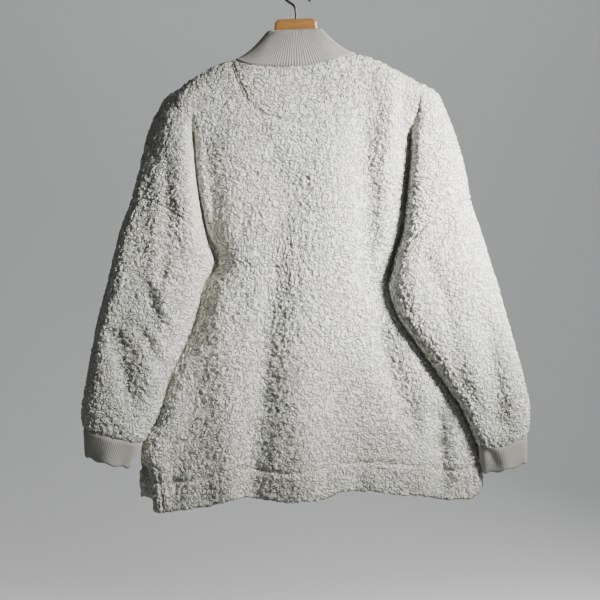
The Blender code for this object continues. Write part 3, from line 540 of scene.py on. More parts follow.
    def upper_half(self, side: Side, face: Face, column: Array, high: Array
                   ) -> tuple[Array, Array]:
        """Place the upper part of a panel.

        Args:
            side: the side of the panel.
            face: the panel.
            column: 0 at the middle, 1 in the arm's crease, 2 at the outer edge.
            high: 0 at the underarm, 1 at the neck and shoulders.

        Returns:
            x and z.
        """
        within, beyond = np.clip(column, 0.0, 1.0), np.clip(column - 1, 0.0, 1.0)
        turn = np.clip(high / self.seam_share, 0.0, 1.0)
        climb = blend(1 - (1 - turn) ** self.row_climb, turn, self.row_even)
        lift = np.where(turn < 1, self.seam_share * climb, high)

        def height(x: Array) -> Array:
            """Height of this row at x."""
            return blend(self.underarm_line(x), self.panel_top(face, x), lift)

        def crease(x: Array) -> Array:
            """The arm's crease at this row's height."""
            z = np.maximum(height(x), self.underarm_z[side])
            start, reach = self.valley_from
            fold = blend(self.arm_in[side](z), self.valley_top_x[side],
                         smooth_step((high - start) / reach))
            rise = smooth_step((z - self.underarm_z[side]) / self.valley_rise)
            return fold - side * self.pinch_wide * (1 - rise)

        near = self.settle(crease, side * self.first_high + 0 * high)
        past = np.clip((high - self.seam_share) / (1 - self.seam_share), 0.0, 1.0)
        end_z = np.where(past > 0, blend(self.seam_top_z[side], self.corner_z[side], past),
                         self.seam_z(side, turn))
        end = np.where(past > 0, self.arm_out(side, end_z), self.tube_x(side, turn, end_z))
        middle = blend(self.centre_underarm, self.centre_neck, high)
        share = blend(beyond, np.sin(beyond * math.pi / 2), turn ** 4)
        x = blend(middle, near, within) + (end - near) * share
        arm_z = blend(height(near), end_z, share)
        start, reach = self.top_from
        arm_z = blend(arm_z, self.top_z(x), smooth_step((high - start) / reach))
        return x, np.where(column <= 1, height(x), arm_z)

    def panel(self, face: Face, column: Array, row: Array) -> Array:
        """Outer face of a body panel.

        Args:
            face: the panel.
            column: -2 to 2, from left to right.
            row: 0 at the hem, 1 at the underarm, 2 at the top.

        Returns:
            Its points.
        """
        x = np.zeros(np.shape(column))
        z = np.zeros(np.shape(column))
        for side in Side:
            low = self.lower_half(side, face, np.abs(column), np.clip(row, 0.0, 1.0))
            up = self.upper_half(side, face, np.abs(column), np.clip(row - 1, 0.0, 1.0))
            here = side * column >= 0
            x = np.where(here, np.where(row <= 1, low[0], up[0]), x)
            z = np.where(here, np.where(row <= 1, low[1], up[1]), z)
        return np.stack([x, self.cloth_y(face, x, z), z], axis=-1)


@dataclass(frozen=True)
class CurlyPile:
    """The pile: rounded nubs of curled fibre with deep narrow gaps between them."""

    nub: float = 8.0
    height: float = 2.9
    curl: float = 3.6
    sway: float = 2.2
    gap_wide: float = 0.42
    curl_wide: float = 0.5
    curl_part: float = 0.15
    seed: int = 41

    @staticmethod
    def scatter(cells: Array, salt: int) -> Array:
        """A fixed scattered number from 0 to 1 for each cell."""
        whole = cells.astype(np.int64)
        mixed = (whole[..., 0] * 73856093) ^ (whole[..., 1] * 19349663)
        mixed = mixed ^ (whole[..., 2] * 83492791) ^ (salt * 2654435761)
        mixed = (mixed ^ (mixed >> 13)) * 1274126177
        mixed = (mixed ^ (mixed >> 16)) & 0x7FFFFFFF
        return mixed / float(0x7FFFFFFF)

    def gaps(self, points: Array, size: float, salt: int) -> tuple[Array, Array]:
        """Distance from the nearest gap between scattered nubs, and each nub's own number.

        Args:
            points: places, in millimetres.
            size: mean width of a nub.
            salt: chooses another scatter.

        Returns:
            The gap distance over the nub width, and a number from 0 to 1 for each nub.
        """
        scaled = points / size
        base = np.floor(scaled)
        nearest = np.full(points.shape[:-1], 9.0)
        second = np.full(points.shape[:-1], 9.0)
        own = np.zeros(points.shape[:-1])
        for step in product((-1, 0, 1), repeat=3):
            cell = base + np.array(step, float)
            away = np.zeros(points.shape[:-1])
            for axis in range(3):
                spot = cell[..., axis] + self.scatter(cell, salt + axis)
                away = away + (spot - scaled[..., axis]) ** 2
            away = np.sqrt(away)
            closer = away < nearest
            second = np.where(closer, nearest, np.minimum(second, away))
            own = np.where(closer, self.scatter(cell, salt + 7), own)
            nearest = np.where(closer, away, nearest)
        return second - nearest, own

    def swayed(self, points: Array) -> Array:
        """Bend the places about, so that the nubs run into worms and commas."""
        rng = np.random.default_rng(self.seed)
        moved = points.copy()
        for reach in (17.0, 9.0):
            for axis in range(3):
                ways = rng.normal(size=(4, 3))
                ways = ways / np.linalg.norm(ways, axis=1, keepdims=True)
                starts = rng.uniform(0, 2 * math.pi, 4)
                for way, start in zip(ways, starts):
                    wave = np.sin(points @ way * (2 * math.pi / reach) + start)
                    moved[..., axis] = moved[..., axis] + wave * self.sway * reach / 34.0
        return moved

    def relief(self, points: Array) -> tuple[Array, Array]:
        """Raise the pile over a surface.

        Args:
            points: places on the cloth, in millimetres.

        Returns:
            The height of the pile in millimetres, and its fullness from 0 to 1.
        """
        swayed = self.swayed(points)
        gap, own = self.gaps(swayed, self.nub, self.seed)
        fine, _ = self.gaps(swayed, self.curl, self.seed + 17)
        body = smooth_step(gap / self.gap_wide) ** 0.8
        curls = smooth_step(fine / self.curl_wide)
        full = body * (0.75 + 0.25 * own)
        # The fullness is stored as the pile mark, from which the fleece's colour paints shade
        # into the gaps
        fullness = np.clip(body * 0.8 + 0.2 * curls, 0.0, 1.0)
        part = self.curl_part
        return self.height * ((1 - part) * full + part * curls * body), fullness


def half_moon_depth(x: Array, z: Array) -> Array:
    """How far inside the half-moon's sewn edge a place lies, negative outside it."""
    table = np.array(HALF_MOON_LINE, float)
    steps = np.concatenate([[0.0], np.cumsum(np.linalg.norm(np.diff(table, axis=0), axis=1))])
    places = np.linspace(0.0, steps[-1], 120)
    line_x = np.interp(places, steps, table[:, 0])
    line_z = SmoothCurve(HALF_MOON_LINE, 1)(line_x)
    away = np.full(np.shape(x), 1e6)
    for one_x, one_z in zip(line_x, line_z):
        away = np.minimum(away, np.hypot(x - one_x, z - one_z))
    inside = (x > table[0, 0]) & (x < table[-1, 0]) & (z > SmoothCurve(HALF_MOON_LINE, 1)(x))
    return np.where(inside, away, -away)


def flattened(x: Array, z: Array) -> Array:
    """How flat the pile lies, from 0 to 1."""
    share = np.zeros(np.shape(x))
    for patch in FLAT_PATCHES:
        share = np.maximum(share, patch.depth(x, z))
    return share


class NodeDesk:
    """Lays out one material's nodes."""

    def __init__(self, name: str) -> None:
        """Start the material."""
        self.material = bpy.data.materials.new(name)
        self.material.use_nodes = True
        self.tree = self.material.node_tree
        self.shader = self.tree.nodes["Principled BSDF"]

    def put(self, socket: bpy.types.NodeSocket, value: object) -> None:
        """Link a socket into another, or set its value."""
        if isinstance(value, bpy.types.NodeSocket):
            self.tree.links.new(value, socket)
        else:
            socket.default_value = value

    def add(self, kind: str, inputs: dict, **settings: object) -> bpy.types.Node:
        """Add a node.

        Args:
            kind: the node's type, without its ShaderNode.
            inputs: sockets or values by input name or number.
            settings: its other properties.

        Returns:
            The node.
        """
        node = self.tree.nodes.new("ShaderNode" + kind)
        for name, value in settings.items():
            setattr(node, name, value)
        for name, value in inputs.items():
            self.put(node.inputs[name], value)
        return node

    def place(self) -> Socket:
        """The object's own coordinates."""
        return self.add("TexCoord", {}).outputs["Object"]

    def noise(self, scale: float, detail: float, place: Socket, **more: float) -> Socket:
        """A noise's value over some coordinates."""
        return self.add("TexNoise", {"Vector": place, "Scale": scale, "Detail": detail,
                                     **more}).outputs["Fac"]

    def cells(self, scale: float, place: Socket, wide: float) -> Socket:
        """Rounded cells: 0 at their edges, 1 from a given way inside them."""
        node = self.add("TexVoronoi", {"Vector": place, "Scale": scale},
                        feature="DISTANCE_TO_EDGE")
        return self.reach(node.outputs["Distance"], 0.0, wide)

    def maths(self, operation: str, first: object, second: object) -> Socket:
        """A sum on two numbers."""
        return self.add("Math", {0: first, 1: second}, operation=operation).outputs[0]

    def eased(self, value: Socket, share: float) -> Socket:
        """A value from 0 to 1 brought up to range from 1 - share to 1."""
        return self.maths("ADD", self.maths("MULTIPLY", value, share), 1 - share)

    def vectors(self, operation: str, first: object, second: object) -> Socket:
        """A sum on two vectors."""
        return self.add("VectorMath", {0: first, 1: second}, operation=operation).outputs[0]

    def reach(self, value: Socket, low: float, high: float) -> Socket:
        """A value from 0 at low to 1 at high, with level ends."""
        node = self.add("MapRange", {"Value": value, "From Min": low, "From Max": high},
                        interpolation_type="SMOOTHSTEP")
        return node.outputs["Result"]

    def attribute(self, name: str) -> Socket:
        """A number stored on the mesh."""
        return self.add("Attribute", {}, attribute_name=name).outputs["Fac"]

    def ramp(self, value: Socket, *stops: tuple[float, Colour]) -> Socket:
        """A colour ramp through stops of a place and a colour."""
        node = self.add("ValToRGB", {"Fac": value})
        elements = node.color_ramp.elements
        for number, (place, colour) in enumerate(stops):
            element = elements[number] if number < 2 else elements.new(place)
            element.position = place
            element.color = (*colour, 1)
        return node.outputs["Color"]

    def mix(self, way: str, share: float, first: Socket, second: Socket) -> Socket:
        """Two colours mixed."""
        node = self.add("Mix", {0: share, 6: first, 7: second}, data_type="RGBA",
                        blend_type=way)
        return node.outputs[2]

    def bump(self, height: Socket, strength: float, distance: float) -> None:
        """Raise the surface by a height."""
        node = self.add("Bump", {"Strength": strength, "Distance": distance,
                                 "Height": height})
        self.surface({"Normal": node.outputs["Normal"]})

    def surface(self, inputs: dict[str, object]) -> None:
        """Set inputs of the surface shader."""
        for name, value in inputs.items():
            self.put(self.shader.inputs[name], value)


@dataclass(frozen=True)
class FleeceFinish:
    """Curly off-white fleece: matt, soft at its edges, with shade painted down between the
    nubs.
    """

    name: str = "sherpa_fleece_curls"
    # deep: painted shade, the colour down in the gaps between the nubs
    deep: Colour = (0.36, 0.35, 0.31)
    crest: Colour = (0.875, 0.885, 0.815)
    cool: Colour = (0.93, 0.955, 0.92)
    warm: Colour = (1.0, 0.985, 0.95)
    roughness: float = 0.95
    sheen: float = 0.2
    nubs_each_metre: float = 172.0
    curls_each_metre: float = 390.0
    nub_height: float = 0.0024
    gap_share: float = 0.24
    curl_share: float = 0.35
    sway: float = 0.005
    fibre_scale: float = 900.0

    def material(self) -> bpy.types.Material:
        """Make the material.

        Returns:
            A node material of small curled nubs that reads the pile's fullness and the
            flat patches, and paints shade into the gaps between the nubs.
        """
        desk = NodeDesk(self.name)
        place = desk.place()
        pile = desk.attribute("pile")
        flat = desk.attribute("flat")
        bend = desk.add("TexNoise", {"Vector": place, "Scale": 120.0, "Detail": 1.0})
        off = desk.vectors("ADD", bend.outputs["Color"], (-0.5, -0.5, -0.5))
        off = desk.vectors("MULTIPLY", off, (self.sway, self.sway, self.sway))
        bent = desk.vectors("ADD", place, off)
        nubs = desk.cells(self.nubs_each_metre, bent, self.gap_share)
        closed = desk.reach(desk.noise(150.0, 1.0, place), 0.45, 0.68)
        nubs = desk.maths("MAXIMUM", nubs, desk.maths("MULTIPLY", closed, 0.85))
        curls = desk.cells(self.curls_each_metre, bent, self.curl_share)

        # Painted shade: the colour darkens where the pile is thin, in the gaps between nubs and
        # curls, through the ramp from deep up to crest; flat patches lessen this painted shade
        body = desk.maths("MULTIPLY", desk.eased(pile, 0.4), desk.eased(nubs, 0.85))
        body = desk.maths("MULTIPLY", body, desk.eased(curls, 0.15))
        body = desk.maths("MAXIMUM", body, desk.maths("MULTIPLY", flat, 0.5))
        half = tuple(blend(a, b, 0.66) for a, b in zip(self.deep, self.crest))
        colour = desk.ramp(body, (0.0, self.deep), (0.3, half), (0.68, self.crest))
        shades = desk.ramp(desk.noise(9.0, 3.0, place), (0.35, self.cool), (0.65, self.warm))

        fibres = desk.noise(self.fibre_scale, 2.0, place, Roughness=0.6)
        rise = desk.maths("ADD", nubs, desk.maths("MULTIPLY", curls, 0.25))
        rise = desk.maths("ADD", rise, desk.maths("MULTIPLY", fibres, 0.22))
        lying = desk.maths("SUBTRACT", 1.0, desk.maths("MULTIPLY", flat, 0.55))
        desk.bump(desk.maths("MULTIPLY", rise, lying), 1.0, self.nub_height)
        desk.surface({"Base Color": desk.mix("MULTIPLY", 0.6, colour, shades),
                      "Roughness": self.roughness, "Sheen Weight": self.sheen,
                      "Sheen Roughness": 0.6, "Specular IOR Level": 0.15})
        return desk.material


@dataclass(frozen=True)
class RibFinish:
    """Fine rib knit, warm off-white, with its wales shaded between."""

    name: str
    groove: Colour
    wale: Colour
    roughness: float = 0.88
    sheen: float = 0.15
    loop_scale: float = 900.0

    def material(self) -> bpy.types.Material:
        """A node material that reads how high each wale stands."""
        desk = NodeDesk(self.name)
        place = desk.place()
        knit = desk.ramp(desk.attribute("pile"), (0.0, self.groove), (0.7, self.wale))
        patches = desk.add("TexNoise", {"Vector": place, "Scale": 22.0})
        tint = desk.mix("MULTIPLY", 0.35, knit, patches.outputs["Color"])
        desk.bump(desk.noise(self.loop_scale, 2.0, place), 0.35, 0.0005)
        desk.surface({"Base Color": desk.mix("MIX", 0.25, knit, tint),
                      "Roughness": self.roughness, "Sheen Weight": self.sheen,
                      "Specular IOR Level": 0.2})
        return desk.material


@dataclass(frozen=True)
class WoodFinish:
    """Honey-coloured wood under clear varnish, its grain running along the hanger."""

    name: str = "hanger_honey_wood"
    dark: Colour = (0.20, 0.08, 0.018)
    light: Colour = (0.44, 0.21, 0.055)
    stretch: tuple[float, float, float] = (6.0, 40.0, 110.0)

    def material(self) -> bpy.types.Material:
        """A node material with stretched grain."""
        desk = NodeDesk(self.name)
        along = desk.add("Mapping", {"Vector": desk.place(), "Scale": self.stretch})
        grain = desk.noise(2.2, 8.0, along.outputs["Vector"], Distortion=0.9)
        desk.bump(grain, 0.15, 0.0004)
        desk.surface({"Base Color": desk.ramp(grain, (0.3, self.dark), (0.7, self.light)),
                      "Roughness": 0.38, "Coat Weight": 0.15, "Coat Roughness": 0.25})
        return desk.material


@dataclass(frozen=True)
class HookFinish:
    """Dark satin wire with a little rubbed wear."""

    name: str = "hook_dark_wire"
    colour: Colour = (0.035, 0.034, 0.033)
    rubbed: Colour = (0.12, 0.11, 0.10)

    def material(self) -> bpy.types.Material:
        """A node material with faint wear."""
        desk = NodeDesk(self.name)
        wear = desk.noise(260.0, 5.0, desk.place())
        desk.surface({"Base Color": desk.ramp(wear, (0.55, self.colour), (0.8, self.rubbed)),
                      "Metallic": 0.7, "Roughness": 0.42})
        return desk.material


@dataclass(frozen=True)
class StageFinish:
    """Plain pale paint."""

    name: str
    colour: Colour

    def material(self) -> bpy.types.Material:
        """A matt material of one colour."""
        desk = NodeDesk(self.name)
        desk.surface({"Base Color": (*self.colour, 1), "Roughness": 0.9})
        return desk.material


@dataclass(frozen=True)
class ClothShell:
    """A thin closed shell: a fine outer face, a coarse inner face, and rims between them."""

    name: str
    stride: int
    closed: bool
    inward: int

    def normals(self, points: Array) -> Array:
        """Outward normals of the fine grid, gathered from its faces.

        Args:
            points: the grid of points.

        Returns:
            One unit normal for each point.
        """
        here, ahead = points[:-1], points[1:]
        if self.closed:
            here, ahead = points, np.roll(points, -1, axis=0)
        first = ahead[:, 1:] - here[:, :-1]
        second = here[:, 1:] - ahead[:, :-1]
        flat = np.cross(first, second) * -self.inward
        total = np.zeros(points.shape)
        for step in (0, 1):
            around = (np.arange(len(flat)) + step) % len(points)
            for down in (slice(None, -1), slice(1, None)):
                total[around, down] += flat
        return unit(total)

    def turned(self, loop: Sequence[int], away: bool) -> Sequence[int]:
        """A face's corners in the order that points it out of the shell."""
        return loop[::-1] if away == (self.inward < 0) else loop

    def faces(self, count: int, deep: int) -> list[Sequence[int]]:
        """Corners of every face.

        Args:
            count: columns of the fine grid.
            deep: rows of the fine grid.

        Returns:
            The fine faces, the coarse faces, and the fans that join their edges.
        """
        stride = self.stride
        wide = len(range(0, count, stride))
        tall = len(range(0, deep, stride))
        last = count if self.closed else count - 1
        wide_end = wide if self.closed else wide - 1

        def fine(i: int, k: int) -> int:
            """Index of a fine point."""
            return (i % count) * deep + k

        def rough(a: int, b: int) -> int:
            """Index of a coarse point."""
            return count * deep + (a % wide) * tall + b

        loops = [self.turned((fine(i, k + 1), fine(i + 1, k + 1), fine(i + 1, k), fine(i, k)),
                             True)
                 for i, k in product(range(last), range(deep - 1))]
        loops += [self.turned((rough(a, b), rough(a, b + 1), rough(a + 1, b + 1),
                               rough(a + 1, b)), False)
                  for a, b in product(range(wide_end), range(tall - 1))]
        rims = []
        for b, k_edge in ((0, 0), (tall - 1, deep - 1)):
            for a in range(wide_end):
                chain = [fine(a * stride + j, k_edge) for j in range(stride + 1)]
                rims.append((chain, rough(a, b), rough(a + 1, b), b == 0))
        if not self.closed:
            for a, i_edge in ((0, 0), (wide - 1, count - 1)):
                for b in range(tall - 1):
                    chain = [fine(i_edge, b * stride + j) for j in range(stride + 1)]
                    rims.append((chain, rough(a, b), rough(a, b + 1), a != 0))
        for chain, low, high, away in rims:
            half = len(chain) // 2
            fan = [(chain[j], chain[j + 1], low if j < half else high)
                   for j in range(len(chain) - 1)]
            fan.append((chain[half], high, low))
            loops += [self.turned(corners, away) for corners in fan]
        return loops

    def build(self, outer: Array, inner: Array, marks: dict[str, Array],
              material: bpy.types.Material) -> bpy.types.Object:
        """Make the mesh.

        Args:
            outer: fine points, in millimetres.
            inner: fine points of the inner face, of which every stride-th is used.
            marks: values to store at each fine point.
            material: the finish.

        Returns:
            The new object.
        """
        coarse = inner[::self.stride, ::self.stride]
        points = np.concatenate([outer.reshape(-1, 3), coarse.reshape(-1, 3)]) * MM
        data = bpy.data.meshes.new(self.name)
        data.from_pydata(points.tolist(), [], self.faces(*outer.shape[:2]))
        for mark, values in marks.items():
            layer = data.attributes.new(mark, "FLOAT", "POINT")
            full = np.full(len(points), INNER_PILE if mark == "pile" else 0.0)
            full[:values.size] = values.reshape(-1)
            layer.data.foreach_set("value", full)
        data.materials.append(material)
        data.shade_smooth()
        thing = bpy.data.objects.new(self.name, data)
        bpy.context.scene.collection.objects.link(thing)
        return thing


@dataclass(frozen=True)
class Relief:
    """What stands on a piece's base surface, in millimetres."""

    lift: Array
    thick: Array
    marks: dict[str, Array]
    drop: Array | float = 0.0


@dataclass
class Garment:
    """What every cloth piece of the pullover shares."""

    form: HangingForm
    pile: CurlyPile
    finish: bpy.types.Material
    name: str = ""
    node: str = ""
    wall: float = 3.5
    stride: int = 6
    closed: bool = False
    flat: tuple[float, float] = (0.0, 0.0)
    area: float = 0.0
    held: str = "hung"
    rests_on: str = "root"
    slot: Slot = Slot.FLEECE
    flat_press: float = 0.6
    crease_press: float = 0.7
    seam_roll: tuple[float, float] = (4.5, 1.7)

    def lines(self) -> tuple[Array, Array]:
        """Places of the grid's columns and of its rows."""
        raise NotImplementedError

    def inward(self) -> int:
        """Which way round the grid is wound: 1 or -1."""
        raise NotImplementedError

    def place(self, column: Array, row: Array) -> Array:
        """Points of the base surface."""
        raise NotImplementedError

    def relief(self, base: Array, column: Array, row: Array) -> Relief:
        """What stands on the base surface."""
        raise NotImplementedError

    def pressed(self, base: Array, flat: Array) -> Array:
        """Share of the pile's height that lies down, in creases and on flat patches."""
        crease = self.form.in_crease(base[..., 0], base[..., 2])
        return np.maximum(self.flat_press * flat, self.crease_press * crease)

    def build(self) -> bpy.types.Object:
        """Make the piece, hide the part's solid that it stands for, and attach it to the root.

        Returns:
            The new object.
        """
        shell = ClothShell(self.name, self.stride, self.closed, self.inward())
        column, row = np.meshgrid(*self.lines(), indexing="ij")
        base = self.place(column, row)
        normal = shell.normals(base)
        relief = self.relief(base, column, row)
        outer = base + normal * relief.lift[..., None]
        outer[..., 2] -= relief.drop
        inner = base - normal * relief.thick[..., None]
        piece = shell.build(outer, inner, relief.marks, self.finish)
        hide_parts(self.node)
        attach(piece, "root")
        return piece


@dataclass
class BodyPanel(Garment):
    """The back or the front: dropped shoulders, and a hem turned up and sewn."""

    face: Face = Face.BACK
    name: str = "fleece_back"
    node: str = "back_panel"
    rests_on: str = "hanger_wood"
    hem_wall: float = 6.5
    hem_height: float = 46.0
    hem_wave: tuple[float, float] = (1.6, 21.0)
    hem_sewn: float = 2.2
    hem_groove: tuple[float, float] = (3.6, 2.6)
    hem_roll: tuple[float, float] = (3.0, 1.6)
    hem_tuft: float = 0.8
    tuft_reach: float = 7.0
    fade: float = 6.0
    sewn_flat: float = 0.55
    # How much shade is painted along the hem's sewn groove
    sewn_painted_shade: float = 0.25
    body_columns: int = 90
    outer_columns: int = 42
    low_rows: int = 160
    seam_rows: int = 108
    top_rows: int = 62
    flat: tuple[float, float] = (0.66, 0.78)
    area: float = 0.47
    moon_bed: tuple[float, float, float] = (2.2, 1.4, 1.8)
    facing: float = 15.0
    facing_groove: tuple[float, float] = (3.2, 2.4)
    slit_top: float = -768.0

    def inward(self) -> int:
        """Which way round the grid is wound."""
        return int(self.face)

    def lines(self) -> tuple[Array, Array]:
        """Columns from the left edge to the right, and rows from the hem to the neck."""
        body = np.arange(1, self.body_columns + 1) / self.body_columns
        outer = 1 + np.arange(1, self.outer_columns + 1) / self.outer_columns
        half = np.concatenate([body, outer])
        share = self.form.seam_share
        low = np.arange(self.low_rows) / self.low_rows
        seam = 1 + share * np.arange(self.seam_rows) / self.seam_rows
        top = 1 + share + (1 - share) * np.arange(self.top_rows + 1) / self.top_rows
        return np.concatenate([-half[::-1], [0.0], half]), np.concatenate([low, seam, top])

    def place(self, column: Array, row: Array) -> Array:
        """Points of the panel."""
        return self.form.panel(self.face, column, row)

    @staticmethod
    def seam_distance(points: Array) -> Array:
        """Distance from the nearest sewn edge: side, armhole, shoulder or neck."""
        along = travelled(points, 0)
        up = travelled(points, 1)
        return np.minimum(np.minimum(along, along[-1] - along), up[:, -1:] - up)

    def relief(self, base: Array, column: Array, row: Array) -> Relief:
        """Raise the pile, and sink the seams, the hem's stitching and the slits' facings."""
        x, z = base[..., 0], base[..., 2]
        low = row < 1
        above = z - self.form.hem_z[self.face](x)
        height, full = self.pile.relief(base)
        rise, length = self.hem_wave
        line = np.abs(above - self.hem_height - rise * np.sin(x / length))
        sewn = np.exp(-(line / self.hem_sewn) ** 2) * low
        lift = height * (1 - self.sewn_flat * sewn) + grooved(line, *self.hem_groove) * low
        flat = flattened(x, z) * (self.face < 0)
        lift = lift - height * self.pressed(base, flat)
        if self.face == Face.BACK:
            deep, margin, reach = self.moon_bed
            lift = lift - deep * smooth_step((half_moon_depth(x, z) + margin) / reach)
        lift = lift + rolled_in(self.seam_distance(base), *self.seam_roll)
        lift = lift + rolled_in(above, *self.hem_roll) * low
        for side in Side:
            edge = self.form.body_edge_x(side, self.face, z)
            inside = np.abs(np.abs(x - edge) - self.facing)
            in_slit = smooth_step((self.slit_top - z) / self.fade) * low
            lift = lift + grooved(inside, *self.facing_groove) * in_slit
        band = smooth_step((self.hem_height - above) / self.fade) * low
        drop = (height - self.hem_tuft) * (1 - smooth_step(above / self.tuft_reach)) * low
        # The pile mark is lowered along the hem's stitching: painted shade in its groove
        marks = {"pile": np.clip(full - self.sewn_painted_shade * sewn, 0, 1), "flat": flat}
        return Relief(lift + band, blend(self.wall, self.hem_wall, band), marks, drop)


@dataclass
class Tube(Garment):
    """A piece that goes right round: columns 0 to 2 round it, the back first."""

    side: Side = Side.RIGHT
    closed: bool = True
    ring: int = 192
    deep: int = 198

    def inward(self) -> int:
        """Which way round the grid is wound."""
        return int(self.side)

    def lines(self) -> tuple[Array, Array]:
        """Columns round the tube and rows 0 to 1 along it."""
        return 2 * np.arange(self.ring) / self.ring, np.arange(self.deep + 1) / self.deep


@dataclass
class FleeceSleeve(Tube):
    """A sleeve from the dropped armhole seam down to its cuff."""

    name: str = "fleece_sleeve_right"
    node: str = "sleeve_right"
    cuff_seam: dict[Side, tuple[float, float]] = both((-725.5, -742.0), (-713.5, -738.0))
    cuff_sag: dict[Side, float] = both(-9.0, -5.0)
    cuff_roll: tuple[float, float] = (7.0, 2.6)
    armhole_gap: float = 0.4
    flat: tuple[float, float] = (0.40, 0.40)
    area: float = 0.125

    def cuff_seam_z(self, turn: Array) -> Array:
        """Height of the seam between the sleeve and its cuff."""
        outer_z, inner_z = self.cuff_seam[self.side]
        sag = self.cuff_sag[self.side] * np.sin(math.pi * turn)
        return blend(inner_z, outer_z, eased_turn(turn)) + sag

    def arm_point(self, column: Array, turn: Array, z: Array) -> tuple[Array, Array]:
        """Sideways place and depth on the arm's tube at a height."""
        x = self.form.tube_x(self.side, turn, z)
        return x, np.where(column <= 1, self.form.arm_y(self.side, Face.BACK, x, z),
                           self.form.arm_y(self.side, Face.FRONT, x, z))

    def place(self, column: Array, row: Array) -> Array:
        """Points of the sleeve."""
        turn = np.where(column <= 1, column, 2 - column)
        z = blend(self.form.seam_z(self.side, turn), self.cuff_seam_z(turn), row)
        x, y = self.arm_point(column, turn, z)
        ease = self.armhole_gap * (1 - turn) ** 8 * (1 - row) ** 3
        return np.stack([x + self.side * ease, y, z], axis=-1)

    def relief(self, base: Array, column: Array, row: Array) -> Relief:
        """Raise the pile, and roll it in at both seams."""
        down = travelled(base, 1)
        height, full = self.pile.relief(base)
        flat = flattened(base[..., 0], base[..., 2]) * (column <= 1)
        lift = height * (1 - self.pressed(base, flat)) + rolled_in(down, *self.seam_roll)
        lift = lift + rolled_in(down[:, -1:] - down, *self.cuff_roll)
        return Relief(lift, np.array(self.wall), {"pile": full, "flat": flat})


@dataclass(frozen=True)
class Ribbing:
    """Wales that stand up along a tube, and edges that turn in at its seam and its fold."""

    wales: int
    rise: float
    seam_deep: float
    seam_share: float
    fold_deep: float
    fold_share: float

    def relief(self, column: Array, row: Array, wall: float) -> Relief:
        """What stands on the tube's base surface."""
        wale = 0.5 + 0.5 * np.cos(math.pi * column * self.wales)
        lift = self.rise * wale + rolled_in(row, self.seam_share, self.seam_deep)
        lift = lift + rolled_in(1 - row, self.fold_share, self.fold_deep)
        return Relief(lift, np.array(wall), {"pile": wale})


@dataclass
class RibCuff(FleeceSleeve):
    """A cuff of fine rib, softly gathered onto the sleeve."""

    ribbing: Ribbing = Ribbing(92, 0.4, 1.6, 0.12, 1.4, 0.06)
    wall: float = 2.8
    stride: int = 8
    ring: int = 560
    deep: int = 24
    gathers: int = 5
    crease: Fold = Fold(292, -722, 318, -772, 0, 9, 2.5, 3.5)
    free: dict[Side, tuple[float, ...]] = both((368.5, -770.0, 296.0, -787.0),
                                               (-340.0, -760.0, -266.0, -779.0))
    half_deep: float = 24.0
    middle: float = -24.0
    edge_sag: float = 3.0
    scallop: tuple[float, float] = (1.4, 1.6)
    gather_deep: tuple[float, float] = (1.0, 1.8)
    flat: tuple[float, float] = (0.22, 0.09)
    area: float = 0.0095
    held: str = "gathered"
    slot: Slot = Slot.RIB

    def place(self, column: Array, row: Array) -> Array:
        """Points of the cuff, with its gathers and the right cuff's crease."""
        turn = np.where(column <= 1, column, 2 - column)
        face = np.where(column <= 1, -1, 1)
        full = np.sin(math.pi * turn)
        top_z = self.cuff_seam_z(turn)
        top_x, top_y = self.arm_point(column, turn, top_z)
        outer_x, outer_z, inner_x, inner_z = self.free[self.side]
        low_x = blend(inner_x, outer_x, eased_turn(turn))
        low_y = self.middle + face * self.half_deep * full
        low_z = blend(inner_z, outer_z, eased_turn(turn)) - self.edge_sag * full
        deep, often = self.scallop
        low_z = low_z + deep * np.sin(self.gathers * often * math.pi * turn + 1)
        start, more = self.gather_deep
        wave = (start + more * row) * np.sin(self.gathers * math.pi * turn)
        wave = wave * smooth_step(4 * row)
        x = blend(top_x, low_x, row)
        y = blend(top_y, low_y, row) + face * wave * full
        z = blend(top_z, low_z, row)
        if self.side == Side.RIGHT:
            y = y + self.crease.depth(x, z) * (column < 1) * smooth_step(8 * row)
        return np.stack([x, y, z], axis=-1)

    def relief(self, base: Array, column: Array, row: Array) -> Relief:
        """Raise the wales."""
        return self.ribbing.relief(column, row, self.wall)


